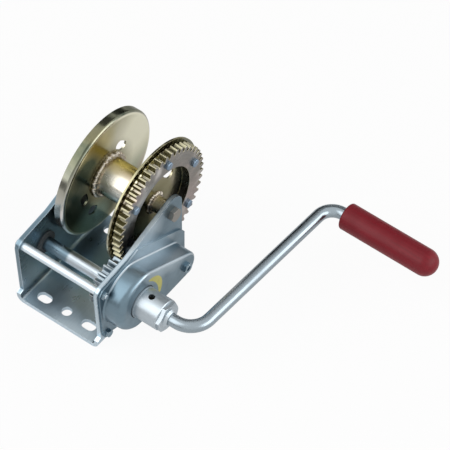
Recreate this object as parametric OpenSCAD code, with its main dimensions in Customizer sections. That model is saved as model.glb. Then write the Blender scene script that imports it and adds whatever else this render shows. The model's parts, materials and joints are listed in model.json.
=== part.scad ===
// Hand winch for a boat trailer, with an automatic brake.
// A bent channel frame carries a geared rope drum and a crank shaft with its pinion.
// A stamped cover on the crank side holds the ratchet wheel, its pawl and the friction discs.
// X runs along the axles towards the crank, Y runs to the back and Z points up.
// The origin is the centre of the base bolt pattern, on the underside of the base.

/* [Frame] */
// Clear width between the side plates
frame_inner_w = 87; // [86:1:96]
// Thickness of the frame sheet
sheet_t = 4.5; // [3.5:0.5:6]
// Depth of the side plates from front to back
frame_depth = 127; // [122:1:136]
// How far the base reaches out in front of the side plates
base_reach = 0.5; // [0.2:0.1:3]
// How far the front edge of a side plate leans back towards its bend
edge_lean = 4.2; // [2:0.2:6]
// Outer radius of the two bends
bend_r = 8; // [7:0.5:10]
// Radius of the front top corner of a side plate
front_corner_r = 8.5; // [6:0.5:12]
// Distance from the front edge to the knee in the top edge
knee_back = 45; // [38:1:52]
// Height of the knee above the underside
knee_h = 88.5; // [86:0.5:92]
// Height of the apex circle above the drum axle
apex_rise = 5.5; // [2:0.5:8]

/* [Base holes] */
// Spacing of the bolt slots across the base
slot_spacing_x = 52; // [44:1:56]
// Spacing of the bolt slots from front to back
slot_spacing_y = 99.6; // [92:0.2:104]
// Diameter of the base holes and width of the slots
base_hole_d = 10.3; // [8:0.1:12]
// Straight part of a slot, between its two round ends
slot_run = 5; // [2:0.5:8]

/* [Tie rod] */
// Diameter of the rod between the plates
tie_rod_d = 8.3; // [7.5:0.1:10]
// Diameter of its threaded ends
tie_stud_d = 4.5; // [4:0.5:6.5]
// Distance from the front edge to the rod
tie_inset = 7.3; // [6.5:0.1:9]
// Height of the rod above the underside
tie_h = 76.2; // [73:0.2:79]

/* [Drum axle] */
// Distance from the back edge to the axle, also the radius of the plate's apex
axle_inset = 14; // [12:0.5:18]
// Height of the axle above the underside
axle_h = 88.5; // [85:0.5:94]
// Diameter of the axle bolt
axle_d = 8; // [7:0.5:10]
// Width across flats of the axle bolt and its nut
axle_af = 13; // [12.5:0.5:15]
// Height of the axle bolt's head
axle_head_h = 5; // [4:0.5:8]
// Thickness of a thrust washer
washer_t = 1.5; // [1:0.5:2.5]

/* [Drum] */
// Outer diameter of the core tube
core_d = 38; // [34:0.5:42]
// Wall of the core tube
core_wall = 3; // [2:0.5:4]
// Outer diameter of the bearing tube on the axle bolt
bearing_tube_d = 16; // [15:0.5:20]
// Diameter of the flanges
flange_d = 132.6; // [126:0.2:135]
// Thickness of the flange sheet
flange_t = 2; // [1.5:0.5:2.5]
// Depth of the left flange's turned rim
rim_depth = 9.7; // [7:0.1:11]
// Outer radius of the bend at the rim
rim_bend_r = 3.5; // [3:0.5:5]
// Gap between the rim and the left plate
rim_gap = 5.3; // [4:0.1:6]
// Depth that the right flange's middle is pressed towards the gear
flange_dish = 2.3; // [1.5:0.1:2.5]

/* [Gears] */
// Tooth module
gear_module = 2.5; // [2.45:0.01:2.55]
// Teeth on the drum gear
gear_teeth = 49; // [48:1:50]
// Teeth on the pinion
pinion_teeth = 18; // [17:1:19]
// Pressure angle
pressure_angle = 20; // [18:1:24]
// Play between the flanks at the pitch circle
backlash = 0.3; // [0.2:0.05:0.5]
// Thickness of the drum gear
gear_t = 8.5; // [7:0.5:9]
// Diameter of the drum gear's centre hole
gear_hole_d = 84; // [78:1:88]
// Gap between the drum gear and the right plate
gear_gap = 8.2; // [7.5:0.1:9]
// Radius of the rivet circle
rivet_circle_r = 51.7; // [50:0.1:53]
// Width across flats of a rivet head
rivet_af = 8; // [7:0.5:9]
// Height of a rivet head
rivet_head_h = 3; // [2.5:0.5:4.5]

/* [Crank shaft] */
// How far the crank shaft sits in front of the middle of the base
crank_ahead = 25.5; // [24:0.5:28]
// Diameter of the crank shaft
shaft_d = 13.2; // [11:0.1:14]
// Diameter of the bush flanges
bush_flange_d = 24; // [22:0.5:28]
// Thickness of the bush flanges
bush_flange_t = 2.3; // [1.8:0.1:3]
// Wall of a bush in its plate
bush_wall = 2.4; // [1.5:0.1:3]

/* [Brake] */
// Teeth on the ratchet wheel
ratchet_teeth = 16; // [14:1:18]
// Tip radius of the ratchet wheel
ratchet_tip_r = 23; // [22.5:0.1:23.2]
// Depth of a ratchet tooth
ratchet_depth = 3.5; // [3:0.1:3.6]
// Thickness of the ratchet wheel and the pawl
ratchet_t = 6; // [5:0.5:7]
// Thickness of a friction disc
friction_t = 2; // [1.5:0.5:3]
// Thickness of the pressure plate
pressure_t = 4; // [3.5:0.5:5]
// Distance from the back edge to the pawl bolt
pawl_inset = 23.5; // [22:0.5:26]
// Height of the pawl bolt above the underside
pawl_h = 35; // [33:0.5:38]
// Diameter of the pawl bolt
pawl_bolt_d = 6; // [5.5:0.5:8]
// Wire diameter of the pawl spring
spring_wire_d = 1.6; // [1.2:0.1:1.8]

/* [Brake cover] */
// Outer radius of the cover round the crank shaft
cover_big_r = 32; // [31.5:0.5:34]
// Outer radius of the cover round the pawl bolt
cover_small_r = 14.8; // [14.5:0.1:17]
// Height of the cover's face above the side plate
cover_depth = 22.5; // [21:0.5:26]
// Thickness of the cover sheet
cover_t = 2; // [1.5:0.1:2.2]
// Outer radius of the cover's edge
cover_edge_r = 3; // [2.5:0.5:5]
// How much the edge's radius grows round the cover's front end
cover_nose_r = 5; // [0:0.5:5]
// Radius of the fillet between the cover's wall and its lip
cover_foot_r = 2.5; // [1:0.5:3]
// Distance from the plate's edge to the cover's lip
lip_inset = 1.5; // [0.5:0.1:3]
// Width of the cover's lip at the small end
lip_w = 13; // [11:0.5:14]
// Gap between the hub's collar and the cover's hole
hub_gap = 0.8; // [0.6:0.1:2]

/* [Crank] */
// Diameter of the crank hub
hub_d = 31.5; // [30:0.5:33]
// Length of the hub in front of the cover
hub_reach = 26.5; // [22:0.5:30]
// Width across flats of the hub's hexagon
hub_af = 27; // [25:0.5:28]
// Length of the hub's hexagon
hub_hex_l = 4.5; // [4:0.5:10]
// Diameter of the handle bar
bar_d = 12.7; // [11:0.1:14]
// Length from the hub's end to the bar's first corner
crank_neck = 29; // [25:0.5:40]
// Length of the crank arm between its two corners
crank_len = 194; // [150:1:250]
// Outward slant of the arm over its length
crank_slant = 10; // [0:0.5:20]
// Centre line radius of the bend near the hub
hub_bend_r = 22; // [18:0.5:24]
// Centre line radius of the bend near the grip
grip_bend_r = 17; // [14:0.5:18]
// Diameter of the grip
grip_d = 27; // [24:0.5:34]
// Length of the grip
grip_len = 103; // [90:1:130]
// Length from the bar's second corner to the grip
grip_start = 19.6; // [19.2:0.1:30]

/* [Hidden] */
$fn = 64;
cut = 1;
run_gap = 0.2;
joint_gap = 0.1;
running_fit = 0.08;
bolt_gap = 0.2;
fine_edge = 0.6;
head_overlap = 1;
arc_steps = 12;

front_y = -frame_depth / 2;
back_y = frame_depth / 2;
in_x = frame_inner_w / 2;
out_x = in_x + sheet_t;
base_front = front_y - base_reach;
notch_low = bend_r + 2.5;
notch_rise = 2;

// Places in the side plane, as [Y, Z]
axle = [back_y - axle_inset, axle_h];
apex = axle + [0, apex_rise];
apex_r = axle_inset;
tie = [front_y + tie_inset, tie_h];
front_corner = [front_y + front_corner_r, tie_h];
knee = [front_y + knee_back, knee_h];
pawl_pivot = [back_y - pawl_inset, pawl_h];
centre_distance = gear_module * (gear_teeth + pinion_teeth) / 2;
crank_drop = sqrt(pow(centre_distance, 2) - pow(axle.x + crank_ahead, 2));
crank = [-crank_ahead, axle_h - crank_drop];

// Places along X, from the left plate to the crank
rim_x = -in_x + rim_gap;
reel_x0 = rim_x + rim_depth;
gear_x1 = in_x - gear_gap;
gear_x0 = gear_x1 - gear_t;
reel_x1 = gear_x0 - flange_t - flange_dish;
pinion_step = 1.2;
pinion_gap = 0.7;
pinion_x0 = gear_x0 + pinion_step;
pinion_x1 = in_x - bush_flange_t - pinion_gap;
pressure_x0 = out_x + 2 * run_gap;
ratchet_x0 = pressure_x0 + pressure_t + friction_t + run_gap;
ratchet_x1 = ratchet_x0 + ratchet_t;
hub_x0 = ratchet_x1 + run_gap + friction_t;
cover_x1 = out_x + cover_depth;
hub_x1 = cover_x1 + hub_reach;
hex_x1 = hub_x1 + hub_hex_l;

// Gears
mesh_angle = atan2(crank.y - axle.y, crank.x - axle.x);
flank_steps = 4;
rivet_count = 6;
rivet_angle = 19;
rivet_d = 5;
rivet_tail_d = 9;
rivet_tail_h = 1.5;

// Flanges
rope_hole_d = 10;
// Slots for the rope's end, as [radius, angle, straight part]
rope_holes = [[30, 45, 7], [34.5, 189, 6], [38.5, 234, 4]];
// Middle of the right flange that is pressed towards the gear
dish_r = rivet_circle_r + rivet_af / 2 + 1;
dish_run = 2;

// Nuts and bolt ends
hex_chamfer = 0.09;
tie_nut_h = 3;
tie_low_nut_h = 2.4;
stud_end = 0.6;
tie_left = -out_x - tie_low_nut_h - stud_end;
tie_right = out_x + cover_t + tie_nut_h + stud_end;
axle_nut_h = 6.5;
axle_end = 2;
washer_rim = 3;

// Shaft ends
clip_t = 1.5;
clip_d = 20;
shaft_tail = 3;
shaft_x0 = -out_x - run_gap - clip_t - shaft_tail;
socket_l = 13;
hub_web = 2;
shaft_x1 = hex_x1 - socket_l - hub_web;
shaft_groove_d = shaft_d - 2;

// Ratchet and pawl, in a frame whose x runs from the pawl's tip to its pivot
ratchet_root_r = ratchet_tip_r - ratchet_depth;
ratchet_pitch = 360 / ratchet_teeth;
contact_r = ratchet_tip_r - ratchet_depth / 2;
brake_span = norm(pawl_pivot - crank);
span_angle = atan2(pawl_pivot.y - crank.y, pawl_pivot.x - crank.x);
contact_angle = span_angle + acos(contact_r / brake_span);
pawl_reach = sqrt(pow(brake_span, 2) - pow(contact_r, 2));
pawl_gap = 0.35;
pawl_lift_gap = 0.6;
pawl_nose_h = 2.4;
pawl_boss_wall = 4;
pawl_boss_r = pawl_bolt_d / 2 + pawl_boss_wall;
pawl_eye_wall = 1.5;
pawl_eye_r = pawl_boss_r + pawl_eye_wall;
pawl_arm_up = 6.5;
pawl_arm_down = 5;
spring_turns = 3;
spring_r = pawl_boss_r + 2 * run_gap + spring_wire_d / 2;
spring_pitch = spring_wire_d - joint_gap;
spring_leg = 16;
spring_tail = sqrt(pow(cover_small_r - cover_t - spring_wire_d / 2 - run_gap, 2) - pow(spring_r, 2));
spring_x0 = out_x + run_gap + spring_wire_d / 2;
friction_inset = 1;
friction_r = ratchet_root_r - friction_inset;

// Brake cover
small_af = 7.5;
small_head_h = 3;
small_corner_r = small_af / 2 / cos(30);
nut_room = 0.9;
nut_seat_r = small_corner_r + nut_room;
lip_edge = 5.4;
lip_behind = 1.2;
lip_big_r = norm(tie - crank) + lip_edge;
screw_angle = 235;
cover_screw_d = 4.5;
cover_screw_at = crank + lip_big_r * [cos(screw_angle), sin(screw_angle)];
lip_small_r = cover_small_r + lip_w;
lip_bottom = bend_r + fine_edge;
foot_sink = 0.3;
foot_steps = 4;
edge_steps = 5;
big_steps = 40;
small_steps = 14;
wall_turn = acos((cover_big_r - cover_small_r) / brake_span);
pawl_af = 10;
pawl_head_h = 3.5;
pawl_socket_af = 5;
pawl_socket_deep = 2;

// Handle bar, as [X, Y] corners at the height of the crank shaft
bar_start = [hex_x1 - socket_l, crank.x];
hub_corner = [hex_x1 + crank_neck, crank.x];
grip_corner = hub_corner + [crank_slant, crank_len];
grip_x0 = grip_corner.x + grip_start;
grip_x1 = grip_x0 + grip_len;
grip_end_wall = 6;
grip_clearance = 0.4;
bar_end = [grip_x1 - grip_end_wall - grip_clearance, grip_corner.y];
arm_angle = atan2(crank_len, crank_slant);
bend_swell = 0.03;
bend_overlap = 0.8;
retainer_t = 3;
retainer_d = bar_d + 5;
hub_step = 0.5;
hub_collar_l = 1.5;
hub_turn = 45;
neck_r = bar_d / 2 + 3;
neck_tip_r = bar_d / 2 + 1.2;
neck_l = 2.5;
set_screw_d = 6.2;
set_screw_reach = 11;
set_screw_x = cover_x1 + set_screw_reach;
set_screw_deep = 4.5;

zinc = "#9aa8b2";
bright_zinc = "#c9d0d4";
yellow_zinc = "#b5a468";
rivet_blue = "#8ea4b8";
dark_steel = "#4c463f";
black_bush = "#2a2c2e";
lining_brown = "#5a4638";
grip_red = "#7e2a31";

// Point where a line from p touches a circle, on its left (turn = 1) or right (turn = -1) side
function touch_point(p, centre, r, turn) =
    let (d = norm(centre - p), a = atan2(centre.y - p.y, centre.x - p.x) + turn * asin(r / d))
    p + sqrt(d * d - r * r) * [cos(a), sin(a)];

function unit(a) = [cos(a), sin(a)];

// Points along an arc
function arc(centre, r, from, to) =
    [for (i = [0:arc_steps]) centre + r * unit(from + (to - from) * i / arc_steps)];

// Direction from one point to another
function heading(p, q) = atan2(q.y - p.y, q.x - p.x);

// Involute of a base circle: angle at radius r, in degrees
function involute(base_r, r) =
    let (t = sqrt(max(0, pow(r / base_r, 2) - 1)))
    t * 180 / PI - atan(t);

// Outline of a spur gear with its first tooth on the x axis
function gear_points(teeth) =
    let (pitch_r = gear_module * teeth / 2,
         base_r = pitch_r * cos(pressure_angle),
         tip_r = pitch_r + gear_module,
         root_r = pitch_r - 1.25 * gear_module,
         low_r = max(base_r, root_r),
         half = 90 / teeth - backlash / 4 / pitch_r * 180 / PI + involute(base_r, pitch_r),
         flank = [for (i = [0:flank_steps])
             let (r = low_r + (tip_r - low_r) * i / flank_steps) [r, half - involute(base_r, r)]])
    [for (k = [0:teeth - 1])
        let (a = 360 * k / teeth)
        each concat(
            [root_r * unit(a - half - fine_edge)],
            [for (p = flank) p[0] * unit(a - p[1])],
            [for (i = [flank_steps:-1:0]) flank[i][0] * unit(a + flank[i][1])],
            [root_r * unit(a + half + fine_edge)])];

// Outline of the ratchet wheel, with a steep face at each tooth's clockwise side
function ratchet_points() =
    [for (k = [0:ratchet_teeth - 1])
        each [ratchet_root_r * unit(k * ratchet_pitch), ratchet_tip_r * unit(k * ratchet_pitch)]];

// Draws in the side plane, with x along Y and y along Z, and z along X from the given place
module side(x, at = [0, 0]) {
    translate([x, at.x, at.y]) rotate([90, 0, 90]) children();
}

// Round bar along X at a place in the side plane
module bar(x0, x1, at, d) {
    side(x0, at) cylinder(d = d, h = x1 - x0);
}

// Ring along X at a place in the side plane
module ring(x0, x1, at, d, bore) {
    difference() {
        bar(x0, x1, at, d);
        bar(x0 - cut, x1 + cut, at, bore);
    }
}

// Hexagon along X whose far end is chamfered
module hexagon(x0, x1, at, af, turn = 0) {
    chamfer = af * hex_chamfer;
    tip_d = af / cos(30);
    intersection() {
        side(x0, at) rotate(turn) cylinder(d = tip_d, h = x1 - x0, $fn = 6);
        side(x0, at) rotate_extrude()
            polygon([[0, 0], [tip_d / 2 + cut, 0],
                     [tip_d / 2 + cut, x1 - x0 - (chamfer + cut) / 2],
                     [tip_d / 2 - chamfer, x1 - x0], [0, x1 - x0]]);
    }
}

// Hexagon that points to the left
module left_hexagon(x0, x1, at, af) {
    mirror([1, 0, 0]) hexagon(-x1, -x0, at, af);
}

// U with rounded lower corners, open at the top
module rounded_bottom(w, r) {
    translate([-w / 2, r]) square([w, 2 * axle_h]);
    translate([-w / 2 + r, 0]) square([w - 2 * r, 2 * r]);
    for (s = [-1, 1]) translate([s * (w / 2 - r), r]) circle(r);
}

module channel_section() {
    difference() {
        rounded_bottom(2 * out_x, bend_r);
        translate([0, sheet_t]) rounded_bottom(2 * in_x, bend_r - sheet_t);
    }
}

// Outline of a side plate, from the base's front over the leaning edge, the rounded corner, the knee and the apex
module side_profile(inset = 0) {
    foot = [front_y + edge_lean + inset, notch_low + notch_rise];
    bend = knee - [0, inset];
    corner_start = touch_point(foot, front_corner, front_corner_r - inset, 1);
    corner_end = touch_point(bend, front_corner, front_corner_r - inset, -1);
    apex_start = touch_point(bend, apex, apex_r - inset, 1);
    polygon(concat(
        [[base_front + inset, -cut], [base_front + inset, notch_low], foot],
        arc(front_corner, front_corner_r - inset, 270 + heading(corner_start, foot), heading(front_corner, corner_end)),
        [bend],
        arc(apex, apex_r - inset, heading(apex, apex_start), 0),
        [[back_y - inset, -cut]]));
}

module base_slot(x, y) {
    for (s = [-1, 1]) translate([x + s * slot_run / 2, y, -cut]) cylinder(d = base_hole_d, h = sheet_t + 2 * cut);
    translate([x - slot_run / 2, y - base_hole_d / 2, -cut]) cube([slot_run, base_hole_d, sheet_t + 2 * cut]);
}

module frame() color(zinc) difference() {
    intersection() {
        rotate([90, 0, 0]) linear_extrude(frame_depth + 2 * base_reach, center = true) channel_section();
        side(-out_x - cut) linear_extrude(2 * (out_x + cut)) side_profile();
    }
    for (x = [-1, 1], y = [-1, 1]) base_slot(x * slot_spacing_x / 2, y * slot_spacing_y / 2);
    translate([0, -slot_spacing_y / 2, -cut]) cylinder(d = base_hole_d, h = sheet_t + 2 * cut);
    bar(-out_x - cut, out_x + cut, tie, tie_stud_d + 2 * bolt_gap);
    bar(-out_x - cut, out_x + cut, axle, axle_d + 2 * bolt_gap);
    bar(-out_x - cut, out_x + cut, crank, shaft_d + 2 * bush_wall);
    bar(in_x - cut, out_x + cut, cover_screw_at, cover_screw_d + 2 * joint_gap);
    bar(in_x - cut, out_x + cut, pawl_pivot, pawl_bolt_d + 2 * joint_gap);
}

module front_tie_rod() color(bright_zinc) {
    bar(-in_x, in_x, tie, tie_rod_d);
    bar(tie_left, tie_right, tie, tie_stud_d);
}

module tie_rod_nuts() color(zinc) difference() {
    union() {
        left_hexagon(-out_x - tie_low_nut_h, -out_x, tie, small_af);
        hexagon(out_x + cover_t, out_x + cover_t + tie_nut_h, tie, small_af);
    }
    bar(tie_left - cut, tie_right + cut, tie, tie_stud_d + 2 * joint_gap);
}

module axle_bolt() color(dark_steel) {
    hexagon(out_x, out_x + axle_head_h, axle, axle_af);
    bar(-out_x - axle_nut_h - axle_end, out_x + head_overlap, axle, axle_d);
}

module axle_nut() color(dark_steel) difference() {
    left_hexagon(-out_x - axle_nut_h, -out_x, axle, axle_af);
    bar(-out_x - axle_nut_h - cut, -out_x + cut, axle, axle_d + 2 * joint_gap);
}

module axle_washers() color(bright_zinc) {
    for (x = [-in_x, in_x - washer_t])
        ring(x, x + washer_t, axle, bearing_tube_d + 2 * washer_rim, axle_d + 2 * bolt_gap);
}

// Flanged bush, drawn for the right plate with its flange on the inside
module plate_bush() {
    difference() {
        union() {
            bar(in_x - bush_flange_t, in_x, crank, bush_flange_d);
            bar(in_x - bush_flange_t, out_x, crank, shaft_d + 2 * bush_wall - 2 * joint_gap);
        }
        bar(in_x - bush_flange_t - cut, out_x + cut, crank, shaft_d + 2 * running_fit);
    }
}

module left_bush() color(black_bush) mirror([1, 0, 0]) plate_bush();

module right_bush() color(black_bush) plate_bush();

// Teardrop round the crank shaft and the pawl bolt
function drop_normal(r1, r2, turn) = unit(span_angle + turn * acos((r1 - r2) / brake_span));

module teardrop(r1, r2) {
    up = drop_normal(r1, r2, 1);
    down = drop_normal(r1, r2, -1);
    polygon([crank + r1 * up, crank + r1 * down, pawl_pivot + r2 * down, pawl_pivot + r2 * up]);
    translate(crank) circle(r1);
    translate(pawl_pivot) circle(r2);
}

// Directions round the cover's wall: the arc at the crank end, then the arc at the pawl end
wall_angles = concat(
    [for (i = [0:big_steps]) span_angle + wall_turn + (360 - 2 * wall_turn) * i / big_steps],
    [for (i = [0:small_steps]) span_angle - wall_turn + 2 * wall_turn * i / small_steps]);

function at_crank(i) = i <= big_steps;

// Point of the wall's outline in one direction, moved inwards
function wall_point(i, inset) =
    (at_crank(i) ? crank : pawl_pivot)
    + ((at_crank(i) ? cover_big_r : cover_small_r) - inset) * unit(wall_angles[i]);

// Radius of the front edge in one direction
function edge_radius(i) =
    cover_edge_r + (at_crank(i) ? cover_nose_r * max(0, -cos(wall_angles[i] - span_angle)) : 0);

function straight_level(h) =
    [for (i = [0:len(wall_angles) - 1]) [each wall_point(i, -cover_foot_r), h]];

// Levels of the fillet at the foot of the wall, for the outside (skin = 0) or the inside
function foot_levels(skin) =
    let (r = cover_foot_r + skin, base = skin > 0 ? 0 : cover_t - foot_sink)
    [for (k = [0:foot_steps])
        let (a = 90 * k / foot_steps)
        [for (i = [0:len(wall_angles) - 1])
            [each wall_point(i, skin - r * (1 - sin(a))), base + r * (1 - cos(a))]]];

// Levels of the rounded front edge
function edge_levels(skin) =
    [for (k = [0:edge_steps])
        let (a = 90 * k / edge_steps)
        [for (i = [0:len(wall_angles) - 1])
            let (r = edge_radius(i) - skin)
            [each wall_point(i, skin + r * (1 - cos(a))), cover_depth - skin - r * (1 - sin(a))]]];

// Solid through a stack of levels
module loft(levels) {
    n = len(levels[0]);
    top = len(levels) - 1;
    polyhedron(
        points = [for (level = levels) each level],
        faces = concat(
            [[for (i = [0:n - 1]) i]],
            [for (k = [0:top - 1], i = [0:n - 1])
                let (a = k * n + i, b = k * n + (i + 1) % n)
                each [[a, a + n, b + n], [a, b + n, b]]],
            [[for (i = [n - 1:-1:0]) top * n + i]]));
}

// Room for a nut or screw head beside the cover's wall
module nut_seats(z, r) {
    for (p = [tie, cover_screw_at]) translate([p.x, p.y, z]) cylinder(r = r, h = 2 * cover_depth);
}

// Lip that lies on the plate, with an ear at its screw, clipped to the plate's front and top
module cover_lip() {
    intersection() {
        union() {
            teardrop(lip_big_r, lip_small_r);
            translate(cover_screw_at) circle(lip_edge);
        }
        union() {
            side_profile(lip_inset);
            translate([axle.x - axle_inset, 0]) square([2 * axle_inset + lip_behind, 2 * axle_h]);
        }
        translate([front_y, lip_bottom]) square(2 * frame_depth);
    }
}

module brake_cover() color(zinc) difference() {
    side(out_x) {
        linear_extrude(cover_t) cover_lip();
        difference() {
            loft(concat([straight_level(0)], foot_levels(0), edge_levels(0)));
            nut_seats(cover_t / 2, nut_seat_r);
        }
    }
    side(out_x) difference() {
        loft(concat([straight_level(-cut)], foot_levels(cover_t), edge_levels(cover_t)));
        nut_seats(-2 * cut, nut_seat_r + cover_t);
    }
    bar(out_x, cover_x1 + cut, crank, hub_d + 2 * hub_step + 2 * hub_gap);
    bar(out_x - cut, out_x + cover_t + cut, tie, tie_stud_d + 2 * bolt_gap);
    bar(out_x - cut, out_x + cover_t + cut, cover_screw_at, cover_screw_d + 2 * bolt_gap);
    bar(out_x, cover_x1 + cut, pawl_pivot, pawl_bolt_d + 2 * bolt_gap);
}

module cover_screw() color(zinc) {
    hexagon(out_x + cover_t, out_x + cover_t + small_head_h, cover_screw_at, small_af);
    bar(in_x, out_x + cover_t + head_overlap, cover_screw_at, cover_screw_d);
}

module pawl_bolt() color(zinc) difference() {
    union() {
        hexagon(cover_x1, cover_x1 + pawl_head_h, pawl_pivot, pawl_af);
        bar(in_x, cover_x1 + head_overlap, pawl_pivot, pawl_bolt_d);
    }
    side(cover_x1 + pawl_head_h - pawl_socket_deep, pawl_pivot)
        cylinder(d = pawl_socket_af / cos(30), h = pawl_socket_deep + cut, $fn = 6);
}

module pawl_spacer() color(bright_zinc)
    ring(ratchet_x1 + run_gap, cover_x1 - cover_t, pawl_pivot, 2 * pawl_boss_r, pawl_bolt_d + 2 * bolt_gap);

module ratchet_wheel() color(dark_steel) difference() {
    side(ratchet_x0, crank) rotate(contact_angle) linear_extrude(ratchet_t) polygon(ratchet_points());
    bar(ratchet_x0 - cut, ratchet_x1 + cut, crank, shaft_d + 2 * running_fit);
}

// Frame of the pawl: x from the tip to the pivot, y away from the crank shaft
module pawl_frame(x) {
    side(x, crank) rotate(contact_angle - 90) children();
}

module pawl() color(dark_steel) difference() {
    union() {
        pawl_frame(ratchet_x0 + run_gap) linear_extrude(ratchet_t - 2 * run_gap) {
            polygon([[pawl_gap, ratchet_root_r + pawl_lift_gap],
                     ratchet_tip_r * [sin(ratchet_pitch), cos(ratchet_pitch)] + [0, pawl_lift_gap],
                     [pawl_reach, contact_r - pawl_arm_down],
                     [pawl_reach, contact_r + pawl_arm_up],
                     [pawl_gap, ratchet_tip_r + pawl_nose_h]]);
            translate([pawl_reach, contact_r]) circle(pawl_eye_r);
        }
        bar(out_x + run_gap, ratchet_x1 - run_gap, pawl_pivot, 2 * pawl_boss_r);
    }
    bar(out_x, ratchet_x1 + cut, pawl_pivot, pawl_bolt_d + 2 * running_fit);
}

module pawl_spring() color(bright_zinc) {
    last_x = spring_x0 + (spring_turns - 1) * spring_pitch;
    for (i = [0:spring_turns - 1])
        pawl_frame(spring_x0 + i * spring_pitch) translate([pawl_reach, contact_r])
            rotate_extrude() translate([spring_r, 0]) circle(d = spring_wire_d, $fn = 24);
    pawl_frame(last_x) translate([pawl_reach, contact_r + spring_r, 0]) {
        rotate([0, -90, 0]) cylinder(d = spring_wire_d, h = spring_leg, $fn = 24);
        translate([-spring_leg, 0, 0]) sphere(d = spring_wire_d, $fn = 24);
        translate([-spring_leg, 0, 0]) cylinder(d = spring_wire_d, h = ratchet_x1 - last_x - run_gap, $fn = 24);
    }
    pawl_frame(spring_x0) translate([pawl_reach, contact_r - spring_r, 0])
        rotate([0, 90, 0]) cylinder(d = spring_wire_d, h = spring_tail, $fn = 24);
}

module core_tube() color(yellow_zinc)
    ring(reel_x0, reel_x1 + flange_dish, axle, core_d, core_d - 2 * core_wall);

module bearing_tube() color(yellow_zinc)
    ring(-in_x + washer_t + run_gap, in_x - washer_t - run_gap, axle, bearing_tube_d, axle_d + 2 * running_fit);

// Slot for the rope's end in a flange
module rope_cut(x0, x1, hole) {
    run = hole[2];
    side(x0, axle) rotate(hole[1]) translate([hole[0], 0, 0]) {
        for (s = [-1, 1]) translate([0, s * run / 2, 0]) cylinder(d = rope_hole_d, h = x1 - x0);
        translate([-rope_hole_d / 2, -run / 2, 0]) cube([rope_hole_d, run, x1 - x0]);
    }
}

// Section of the left flange: a flat disc with its rim turned back, radius along x
module left_flange_section() {
    r = flange_d / 2;
    inner_r = rim_bend_r - flange_t;
    difference() {
        union() {
            square([r - rim_bend_r, rim_depth]);
            square([r, rim_depth - rim_bend_r]);
            translate([r - rim_bend_r, rim_depth - rim_bend_r]) circle(rim_bend_r);
        }
        translate([-cut, -cut]) square([r - rim_bend_r + cut, rim_depth - flange_t + cut]);
        translate([-cut, -cut]) square([r - flange_t + cut, rim_depth - rim_bend_r + cut]);
        translate([r - rim_bend_r, rim_depth - rim_bend_r]) circle(inner_r);
        translate([-cut, -cut]) square([bearing_tube_d / 2 + joint_gap + cut, rim_depth + 2 * cut]);
    }
}

module left_flange() color(yellow_zinc) difference() {
    side(rim_x, axle) rotate_extrude($fn = 96) left_flange_section();
    for (hole = rope_holes) rope_cut(rim_x, reel_x0 + cut, hole);
}

// Section of the right flange: its middle is pressed towards the gear
module right_flange_section() {
    r = flange_d / 2;
    bore_r = bearing_tube_d / 2 + joint_gap;
    polygon([[bore_r, flange_dish], [dish_r, flange_dish], [dish_r + dish_run, 0], [r, 0],
             [r, flange_t], [dish_r + dish_run, flange_t], [dish_r, flange_dish + flange_t],
             [bore_r, flange_dish + flange_t]]);
}

module right_flange() color(yellow_zinc) difference() {
    side(reel_x1, axle) rotate_extrude($fn = 96) right_flange_section();
    rope_cut(reel_x1 - cut, gear_x0 + cut, rope_holes[0]);
    gear_rivet_places(reel_x1 - cut) cylinder(d = rivet_d + 2 * joint_gap, h = gear_x0 - reel_x1 + 2 * cut);
}

module gear_rivet_places(x) {
    for (i = [0:rivet_count - 1])
        side(x, axle) rotate(rivet_angle + i * 360 / rivet_count) translate([rivet_circle_r, 0, 0]) children();
}

module drum_gear() color(yellow_zinc) difference() {
    side(gear_x0, axle) rotate(mesh_angle) linear_extrude(gear_t) polygon(gear_points(gear_teeth));
    bar(gear_x0 - cut, gear_x1 + cut, axle, gear_hole_d);
    gear_rivet_places(gear_x0 - cut) cylinder(d = rivet_d + 2 * joint_gap, h = gear_t + 2 * cut);
}

module gear_rivets() color(rivet_blue) {
    gear_rivet_places(reel_x1 + flange_dish - rivet_tail_h) cylinder(d = rivet_tail_d, h = rivet_tail_h);
    gear_rivet_places(reel_x1 + flange_dish - rivet_tail_h / 2)
        cylinder(d = rivet_d, h = gear_x1 - reel_x1 - flange_dish + (rivet_tail_h + rivet_head_h) / 2);
    for (i = [0:rivet_count - 1])
        hexagon(gear_x1, gear_x1 + rivet_head_h, axle + rivet_circle_r * unit(rivet_angle + i * 360 / rivet_count),
                rivet_af);
}

module drive_shaft() color(bright_zinc) difference() {
    bar(shaft_x0, shaft_x1, crank, shaft_d);
    ring(-out_x - run_gap - clip_t, -out_x - run_gap, crank, shaft_d + cut, shaft_groove_d);
}

module pinion() color(bright_zinc) difference() {
    side(pinion_x0, crank) rotate(mesh_angle + 180 + 180 / pinion_teeth)
        linear_extrude(pinion_x1 - pinion_x0) polygon(gear_points(pinion_teeth));
    bar(pinion_x0 - cut, pinion_x1 + cut, crank, shaft_d + 2 * joint_gap);
}

module shaft_clip() color(dark_steel) difference() {
    ring(-out_x - run_gap - clip_t + joint_gap, -out_x - run_gap - joint_gap, crank, clip_d,
         shaft_groove_d + 2 * joint_gap);
    side(-out_x - clip_t - cut, crank) translate([0, -shaft_groove_d * 0.4, 0])
        cube([clip_d, shaft_groove_d * 0.8, clip_t + 2 * cut]);
}

module pressure_plate() color(dark_steel)
    ring(pressure_x0, pressure_x0 + pressure_t, crank, 2 * friction_r, shaft_d + 2 * joint_gap);

module friction_discs() color(lining_brown) {
    for (x = [pressure_x0 + pressure_t, ratchet_x1 + run_gap])
        ring(x, x + friction_t, crank, 2 * friction_r, shaft_d + 2 * bolt_gap);
}

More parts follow.
